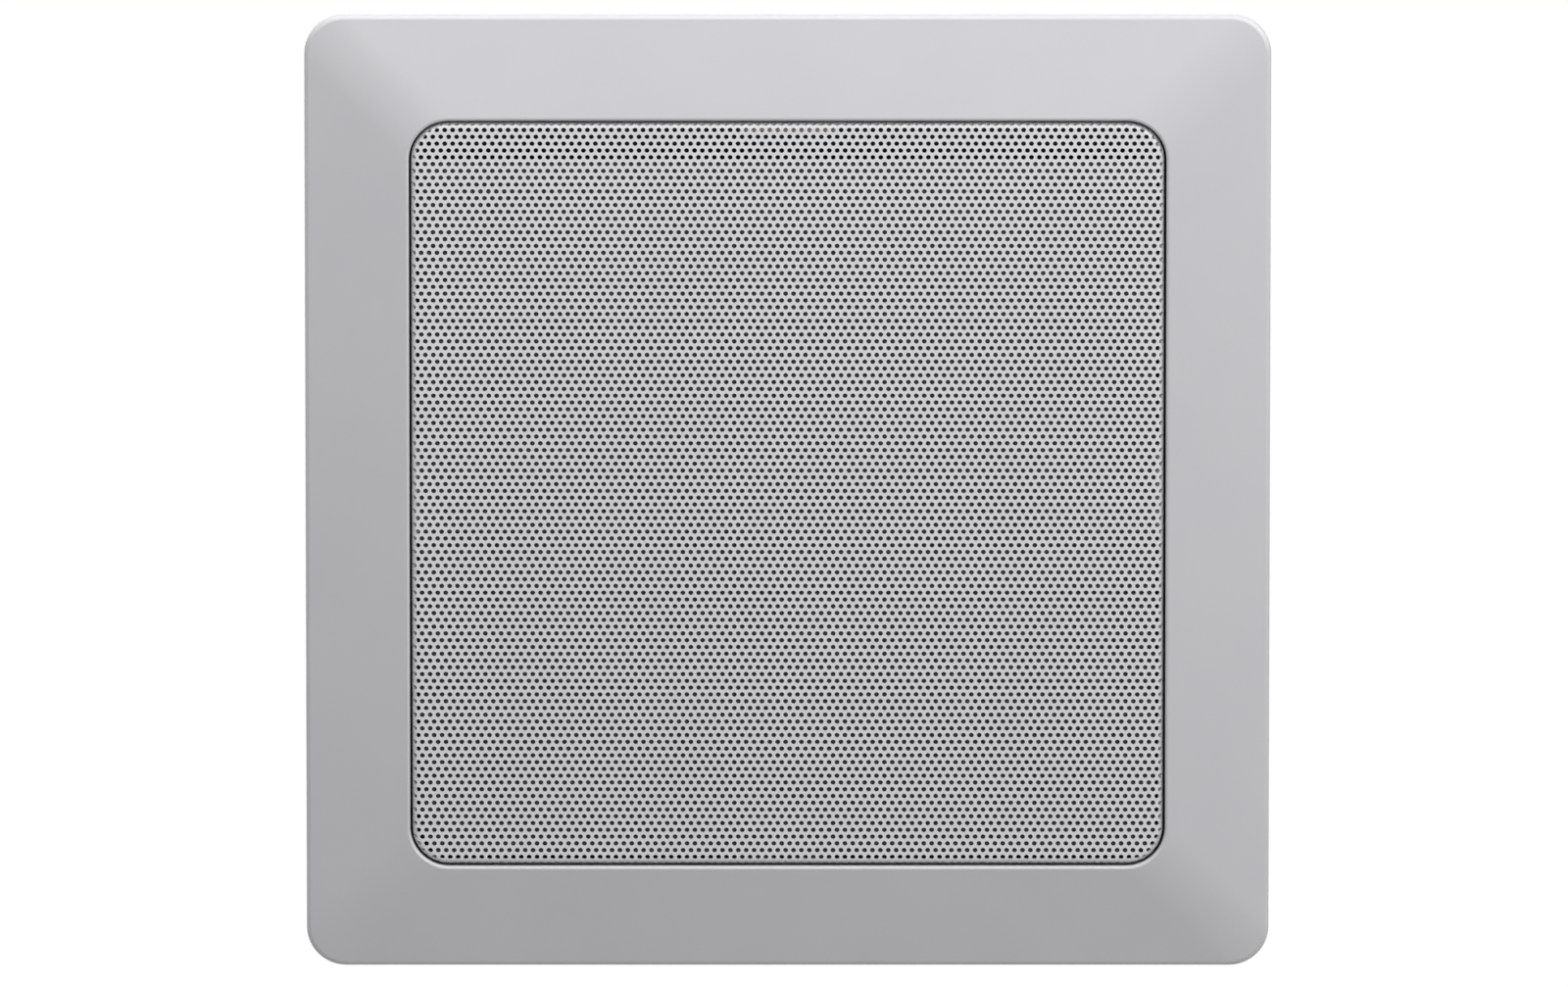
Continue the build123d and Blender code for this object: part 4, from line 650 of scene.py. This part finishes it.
def makeScrim():
    corner, columns = scrim["corner"], scrim["columns"]
    low, high = boxInMm("grille_scrim")
    half, middle = high.x, (low.y + high.y) / 2
    turns = [math.pi / 2 * step / scrim["cornerRows"] for step in range(scrim["cornerRows"])]
    levels = [(low.z + corner * (1 - math.cos(turn)), half - corner * (1 - math.sin(turn))) for turn in turns]
    rise = high.z - scrim["topTrim"] - low.z - corner
    levels += [(low.z + corner + rise * step / scrim["rows"], half) for step in range(scrim["rows"] + 1)]
    across, layer = columns + 1, len(levels) * (columns + 1)
    points, faces = [], []
    for side in (-0.5, 0.5):
        for z, reach in levels:
            for step in range(across):
                x = reach * (2 * step / columns - 1)
                wave = noise.noise(Vector((x, z, 0)) / scrim["rippleWidth"]) * scrim["ripple"]
                points.append((x, middle + wave + side * scrim["thick"], z))
    for row in range(len(levels) - 1):
        for step in range(columns):
            a = row * across + step
            faces += [(a, a + 1, a + across + 1, a + across),
                      (layer + a, layer + a + across, layer + a + across + 1, layer + a + 1)]
    rim = list(range(across))  # bottom edge, right side, top edge and left side of one layer
    rim += [row * across + across - 1 for row in range(1, len(levels))]
    rim += list(range(layer - 2, layer - across - 1, -1))
    rim += [row * across for row in range(len(levels) - 2, 0, -1)]
    faces += [(a, layer + a, layer + b, b) for a, b in zip(rim, rim[1:] + rim[:1])]
    mesh = meshFrom("scrimCloth", points, faces=faces)
    settleMesh(mesh, "sheet")
    piece = placePiece("scrimCloth", mesh, "chassis", "scrim_cloth", "grille_scrim")


makeScrim()
print("scrim stretched behind the grille")

# woofer surround and spider: rings that give between basket and cone, each made in twelve equal sectors
softRings = {"sectors": 12, "steps": 10}
surround = {"lip": 56.0, "rollInner": 60.5, "rollOuter": 70.5, "heldFrom": 71.0, "rim": 76.0, "seat": 11.5,
            "sheet": 1.0, "beadHeight": 0.35, "beadInsets": (1.0, 1.4, 2.0, 2.4), "arcSteps": 14}
spider = {"inner": 13.0, "firstWave": 15.0, "lastWave": 39.3, "outer": 43.0, "level": 40.25, "sheet": 0.4,
          "halfWaves": 10, "height": 1.2, "waveSteps": 6}


def surroundProfile():
    seat, front, rim = surround["seat"], surround["seat"] - surround["sheet"], surround["rim"]
    middle = (surround["rollInner"] + surround["rollOuter"]) / 2
    inside = (surround["rollOuter"] - surround["rollInner"]) / 2
    lip = [(surround["lip"], front), (surround["lip"], seat), (surround["rollInner"], seat)]
    back = arcPoints((middle, front), inside, 180, 360, surround["arcSteps"])
    edge = [(surround["rollOuter"], seat), (rim, seat), (rim, front)]
    crest = front - surround["beadHeight"]
    bead = [(rim - inset, y) for inset, y in zip(surround["beadInsets"], (front, crest, crest, front))]
    face = arcPoints((middle, front), inside + surround["sheet"], 360, 180, surround["arcSteps"])
    return lip + back + edge + bead + face


def spiderProfile():
    count = spider["halfWaves"] * spider["waveSteps"]
    line = [(spider["inner"], spider["level"])]
    for step in range(count + 1):
        r = spider["firstWave"] + (spider["lastWave"] - spider["firstWave"]) * step / count
        line.append((r, spider["level"] + spider["height"] * math.sin(math.pi * step / spider["waveSteps"])))
    line.append((spider["outer"], spider["level"]))
    half = spider["sheet"] / 2
    return [(r, y - half) for r, y in line] + [(r, y + half) for r, y in reversed(line)]


# made in twelve sectors, each turned through its share of the round and left loose
def makeSoftRing(name, profile, slotName, node):
    sweep = 360 / softRings["sectors"]
    for part in range(softRings["sectors"]):
        mesh = turnedMesh("%s%02d" % (name, part + 1), profile, softRings["steps"], part * sweep, sweep)
        piece = placePiece(mesh.name, mesh, None, slotName, node)
        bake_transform(piece)


makeSoftRing("surroundRoll", surroundProfile(), "surround_rubber", "woofer_surround")
makeSoftRing("spiderRing", spiderProfile(), "spider_cloth", "woofer_spider")
print("surround and spider made")

# tweeter dome: doped silk pressed to a dome with a small roll and a flat rim
dome = {"radius": 12.5, "rise": 3.2, "seat": -0.5, "rollOuter": 14.1, "rollRise": 0.7, "rollSteps": 8,
        "rim": 15.3, "sheet": 0.3, "steps": 14, "around": 72}


def makeDome():
    radius, seat = dome["radius"], dome["seat"]
    ball = (radius ** 2 + dome["rise"] ** 2) / (2 * dome["rise"])
    centre = seat - dome["rise"] + ball
    face = []
    for step in range(dome["steps"] + 1):
        r = radius * step / dome["steps"]
        face.append((r, centre - math.sqrt(ball ** 2 - r ** 2)))
    for step in range(1, dome["rollSteps"] + 1):
        share = step / dome["rollSteps"]
        r = radius + (dome["rollOuter"] - radius) * share
        face.append((r, seat - dome["rollRise"] * math.sin(math.pi * share)))
    face.append((dome["rim"], seat))
    back = [(r, y + dome["sheet"]) for r, y in reversed(face)]
    mesh = turnedMesh("tweeterDome", face + back, dome["around"])
    placePiece("tweeterDome", mesh, "chassis", "dome_cloth", "tweeter_dome")


makeDome()
print("tweeter dome made")

# windings: one layer of enamelled wire, turns side by side; thicker than real on the two drive coils
windings = {
    "turnSteps": 32, "wireSides": 6,
    "coils": {  # node it stands for: piece, wire in mm, body
        "inductor_winding": ("inductorWinding", 0.8, "chassis"),
        "voice_coil": ("voiceCoilWinding", 0.3, "cone"),
        "tweeter_coil": ("tweeterCoilWinding", 0.3, "chassis"),
    },
}


def woundCoilTree():
    tree, ask = startTree("woundCoil", {"Radius": "Float", "Wire Radius": "Float", "Height": "Float",
                                        "Turns": "Float", "Place": "Vector", "Paint": "Material"})
    spiral = spiralLine(tree, windings["turnSteps"], ask["Turns"], ask["Radius"], ask["Height"])
    wire = sweptMesh(tree, spiral, circleLine(tree, windings["wireSides"], ask["Wire Radius"]))
    stood = addNode(tree, "GeometryNodeTransform", {
        "Geometry": wire, "Translation": ask["Place"], "Rotation": (-math.pi / 2, 0, 0)})
    endTree(tree, stood, ask["Paint"])
    return tree


def makeWindings():
    tree = woundCoilTree()
    for node, (name, wire, body) in windings["coils"].items():
        low, high = boxInMm(node)
        height = high.y - low.y - wire
        place = Vector(((low.x + high.x) / 2, low.y + wire / 2, (low.z + high.z) / 2))
        mesh = grownMesh(name, bpy.data.meshes.new(name), tree, {
            "Radius": ((high.x - low.x) / 2 - wire / 2) * mm, "Wire Radius": wire / 2 * mm,
            "Height": height * mm, "Turns": height / wire, "Place": place * mm,
            "Paint": materials["copper_wire"]})
        settleMesh(mesh, "wire")
        placePiece(name, mesh, body, "copper_wire", node)
        print("winding", name, len(mesh.polygons), "faces")


makeWindings()

# clamp screws: rolled thread on the shank, a little coarser than the real one so that it shows; sizes in mm
clampThread = {
    "places": [(x, z) for x in (-83.85, 83.85) for z in (-35.1, 35.1)], "from": 13.0, "to": 50.4,
    "pitch": 1.0, "shank": 2.0, "core": 1.62, "crest": 0.2,
    "crestOut": 0.8,  # how far the ridge's own middle stands off the core, in crests
    "runOut": 1.0,  # the core starts so far before the thread
    "shankSlack": 0.05,  # points this near the shank's radius belong to it
    "turnSteps": 20, "crestSides": 5,
}


def threadTree():
    tree, ask = startTree("screwThread", {"Radius": "Float", "Crest": "Float", "Length": "Float",
                                          "Turns": "Float", "Paint": "Material"})
    spiral = spiralLine(tree, clampThread["turnSteps"], ask["Turns"], ask["Radius"], ask["Length"])
    ridge = sweptMesh(tree, spiral, circleLine(tree, clampThread["crestSides"], ask["Crest"]))
    ridges = addNode(tree, "GeometryNodeInstanceOnPoints", {
        "Points": ask["Geometry"], "Instance": ridge, "Rotation": (-math.pi / 2, 0, 0)})
    endTree(tree, ridges, ask["Paint"])
    return tree


def makeClampScrews():
    places, first, core = clampThread["places"], clampThread["from"], clampThread["core"]
    seed = meshFrom("threadStarts", [(x, first, z) for x, z in places])
    length = clampThread["to"] - first
    ridges = grownMesh("clampThreads", seed, threadTree(), {
        "Radius": (core + clampThread["crest"] * clampThread["crestOut"]) * mm,
        "Crest": clampThread["crest"] * mm, "Length": length * mm, "Turns": length / clampThread["pitch"],
        "Paint": materials["zinc_steel"]})
    work = weldedNode("clamp_screws")
    for vert in work.verts:  # the shank is turned down to the thread's core
        x, z = min(places, key=lambda spot: (Vector((spot[0], 0, spot[1])) * mm - vert.co).length)
        out = Vector((vert.co.x / mm - x, 0, vert.co.z / mm - z))
        onShank = abs(out.length - clampThread["shank"]) < clampThread["shankSlack"]
        if onShank and vert.co.y / mm > first - clampThread["runOut"]:
            vert.co = (Vector((x, vert.co.y / mm, z)) + out * (core / out.length)) * mm
    mesh = bpy.data.meshes.new("clampScrews")
    work.from_mesh(ridges)
    work.to_mesh(mesh)
    work.free()
    settleMesh(mesh, "thread")
    placePiece("clampScrews", mesh, "chassis", "zinc_steel", "clamp_screws")


makeClampScrews()
print("clamp screws threaded")

# leads: soft sheathed wires, two from the solder tags to the board and two from the board to the tweeter
leads = {
    "radius": 0.8, "roundness": 3,
    "cords": {
        "wooferLead1": {"stands": "woofer_leads", "length": 0.048, "route": [
            (-38.52, 30.075, 52.238), (-42.399, 35.898, 56.117), (-52.5, 34.0, 64.0), (-60.25, 27.6, 82.25),
            (-60.25, 17.65, 82.25)]},
        "wooferLead2": {"stands": "woofer_leads", "length": 0.046, "route": [
            (-52.238, 30.075, 38.52), (-56.117, 35.898, 42.399), (-68.5, 34.0, 46.5), (-79.75, 27.6, 59.75),
            (-79.75, 17.65, 59.75)]},
        "tweeterLead1": {"stands": "tweeter_leads", "length": 0.162, "route": [
            (-59.75, 17.65, 93.95), (-59.75, 23.6, 93.95), (-53.8, 23.6, 93.95), (-10.75, 23.6, 93.95),
            (-1.4, 23.6, 93.95), (-1.4, 23.6, 84.6), (-1.4, 12.0, 84.6), (-1.4, 1.0, 84.6),  # in its hole
            (-1.4, -1.45, 84.6), (-1.4, -1.45, 82.2), (-1.4, -1.45, 15.5)]},  # along the bridge's groove
        "tweeterLead2": {"stands": "tweeter_leads", "length": 0.168, "route": [
            (-59.75, 17.65, 96.75), (-59.75, 23.6, 96.75), (-53.8, 23.6, 96.75), (-10.75, 23.6, 96.75),
            (1.4, 23.6, 96.75), (1.4, 23.6, 84.6), (1.4, 12.0, 84.6), (1.4, 1.0, 84.6),
            (1.4, -1.45, 84.6), (1.4, -1.45, 82.2), (1.4, -1.45, 15.5)]},
    },
}


def makeLeads():
    radius = leads["radius"] * mm
    for name, lead in leads["cords"].items():
        curve = routeCurve(name, lead["route"])
        curve.bevel_depth = radius
        curve.bevel_resolution = leads["roundness"]
        curve.use_fill_caps = True
        piece = placePiece(name, curve, "chassis", "lead_sheath", lead["stands"])


makeLeads()
print("leads laid")

# tinsel leads: twisted copper strands from the tags to the cone, left loose of any body
tinsel = {
    "strand": 0.3, "strandSides": 6, "lay": 0.32, "strands": 3, "turns": 7.0, "steps": 90,
    "routes": [
        [(-36.073, 25.234, 48.235), (-33.673, 21.631, 45.835), (-19.606, 29.717, 32.976),
         (-18.067, 24.528, 30.387)],
        [(-48.235, 25.234, 36.073), (-45.835, 21.631, 33.673), (-32.976, 29.717, 19.606),
         (-30.387, 24.528, 18.067)]],
}


def twistedLeadTree():
    tree, ask = startTree("twistedLead", {"Strand": "Float", "Lay": "Float", "Strands": "Int",
                                          "Twist": "Float", "Steps": "Int", "Paint": "Material"})
    line = addNode(tree, "GeometryNodeMeshToCurve", {0: ask["Geometry"]})
    line = addNode(tree, "GeometryNodeResampleCurve", {"Curve": line, "Count": ask["Steps"]})
    along = addNode(tree, "GeometryNodeSplineParameter")
    tilt = addNode(tree, calc, {0: along, 1: ask["Twist"]}, operation="MULTIPLY")
    line = addNode(tree, "GeometryNodeSetCurveTilt", {"Curve": line, "Tilt": tilt})
    ring = circleLine(tree, ask["Strands"], ask["Lay"])
    spots = addNode(tree, "GeometryNodeCurveToPoints", {"Curve": ring}, mode="EVALUATED")
    strand = circleLine(tree, tinsel["strandSides"], ask["Strand"])
    section = addNode(tree, "GeometryNodeInstanceOnPoints", {"Points": spots, "Instance": strand})
    section = addNode(tree, "GeometryNodeRealizeInstances", {0: section})
    endTree(tree, sweptMesh(tree, line, section), ask["Paint"])
    return tree


def makeTinsel():
    tree = twistedLeadTree()
    for number, route in enumerate(tinsel["routes"]):
        name = "tinselLead%d" % (number + 1)
        bare = bpy.data.objects.new(name, routeCurve(name, route))
        line = bpy.data.meshes.new_from_object(bare)
        bpy.data.curves.remove(bare.data)
        mesh = grownMesh(name, line, tree, {
            "Strand": tinsel["strand"] * mm, "Lay": tinsel["lay"] * mm, "Strands": tinsel["strands"],
            "Twist": tinsel["turns"] * 2 * math.pi, "Steps": tinsel["steps"],
            "Paint": materials["copper_wire"]})
        settleMesh(mesh, "wire")
        piece = placePiece(name, mesh, None, "copper_wire", "tinsel_leads")
        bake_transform(piece)


makeTinsel()
print("tinsel leads twisted")

# wire legs of the crossover's parts, bent down into the board
legs = {
    "radius": 0.4, "corner": 0.9, "cornerSteps": 5, "sides": 10,
    "wires": {
        "componentLegs": {"slot": "zinc_steel", "routes": [
            [(-93.45, 22.65, 60.2), (-93.45, 22.65, 58.2), (-93.45, 17.2, 58.2)],
            [(-93.45, 22.65, 79.3), (-93.45, 22.65, 81.2), (-93.45, 17.2, 81.2)],
            [(-69.75, 20.6, 82.2), (-69.75, 20.6, 80.4), (-69.75, 17.2, 80.4)],
            [(-69.75, 20.6, 97.3), (-69.75, 20.6, 98.5), (-69.75, 17.2, 98.5)]]},
        "windingEnds": {"slot": "copper_wire", "routes": [
            [(-69.25, 20.4, 60.6), (-69.25, 20.4, 58.3), (-69.25, 17.2, 58.3)],
            [(-61.76, 20.4, 64.93), (-59.9, 20.4, 63.85), (-59.9, 17.2, 63.85)]]},
    },
}


def bentWireTree():
    tree, ask = startTree("bentWire", {"Radius": "Float", "Corner": "Float", "Paint": "Material"})
    line = addNode(tree, "GeometryNodeMeshToCurve", {0: ask["Geometry"]})
    line = addNode(tree, "GeometryNodeFilletCurve", {
        "Curve": line, "Radius": ask["Corner"], "Count": legs["cornerSteps"]}, mode="POLY")
    wire = sweptMesh(tree, line, circleLine(tree, legs["sides"], ask["Radius"]))
    endTree(tree, wire, ask["Paint"])
    return tree


def makeLegs():
    tree = bentWireTree()
    for name, wire in legs["wires"].items():
        points, edges = [], []
        for route in wire["routes"]:
            start = len(points)
            edges += [(start + i, start + i + 1) for i in range(len(route) - 1)]
            points += route
        mesh = grownMesh(name, meshFrom(name, points, edges), tree, {
            "Radius": legs["radius"] * mm, "Corner": legs["corner"] * mm, "Paint": materials[wire["slot"]]})
        settleMesh(mesh, "leg")
        placePiece(name, mesh, "chassis", wire["slot"])


makeLegs()
print("component legs bent")

# dabs: solder where wires meet board and tags, black glue where the tinsel meets the cone
dabs = {
    "segments": 14, "rings": 8,
    "groups": {
        "boardSolder": {"size": (1.1, 0.65, 1.1), "slot": "zinc_steel", "body": "chassis", "places": [
            (-93.45, 17.6, 58.4), (-93.45, 17.6, 81.0), (-69.75, 17.6, 80.4), (-69.75, 17.6, 98.1),
            (-69.25, 17.6, 58.4), (-59.9, 17.6, 63.85), (-60.25, 17.6, 82.25), (-79.75, 17.6, 59.75),
            (-59.75, 17.6, 93.95), (-59.75, 17.6, 96.75)]},
        "tagSolder": {"size": (1.2, 1.4, 1.2), "slot": "zinc_steel", "body": "chassis", "places": [
            (-39.2, 31.2, 52.9), (-52.9, 31.2, 39.2), (-36.073, 25.4, 48.235), (-48.235, 25.4, 36.073)]},
        "coneGlue": {"size": (2.1, 1.1, 2.1), "slot": "surround_rubber", "body": "cone", "places": [
            (-18.067, 24.4, 30.387), (-30.387, 24.4, 18.067)]},
    },
}


def dabTree():
    tree, ask = startTree("dabs", {"Size": "Vector", "Paint": "Material"})
    drop = addNode(tree, "GeometryNodeMeshUVSphere", {
        "Segments": dabs["segments"], "Rings": dabs["rings"], "Radius": 1.0})
    drops = addNode(tree, "GeometryNodeInstanceOnPoints", {
        "Points": ask["Geometry"], "Instance": drop, "Scale": ask["Size"]})
    endTree(tree, drops, ask["Paint"])
    return tree


def makeDabs():
    tree = dabTree()
    for name, dab in dabs["groups"].items():
        mesh = grownMesh(name, meshFrom(name, dab["places"]), tree, {
            "Size": Vector(dab["size"]) * mm, "Paint": materials[dab["slot"]]})
        settleMesh(mesh, "dab")
        placePiece(name, mesh, dab["body"], dab["slot"])


makeDabs()
print("solder and glue set")

# gasket: a foam ring squeezed between basket and baffle, rounded and pitted all over; sizes in mm
gasket = {"voxel": 0.5, "pit": 0.12, "pore": 1.3, "shrink": 0.03}


def makeGasket():
    work = weldedNode("woofer_gasket")
    mesh = bpy.data.meshes.new("gasketSolid")
    work.to_mesh(mesh)
    work.free()
    host = addObject("gasketFoam", mesh)
    cells = host.modifiers.new("cells", "REMESH")
    cells.mode = "VOXEL"
    cells.voxel_size = gasket["voxel"] * mm
    foam = solvedMesh(host, "gasketFoam")
    normals = [vert.normal.copy() for vert in foam.vertices]
    for vert, normal in zip(foam.vertices, normals):
        deep = max(0.0, noise.noise(vert.co / (gasket["pore"] * mm))) * gasket["pit"]
        vert.co -= normal * (deep + gasket["shrink"]) * mm
    settleMesh(foam, "foam")
    foam.materials.clear()
    piece = placePiece("gasketFoam", foam, "chassis", "gasket_foam", "woofer_gasket")
    print("gasket", len(foam.polygons), "faces")


makeGasket()
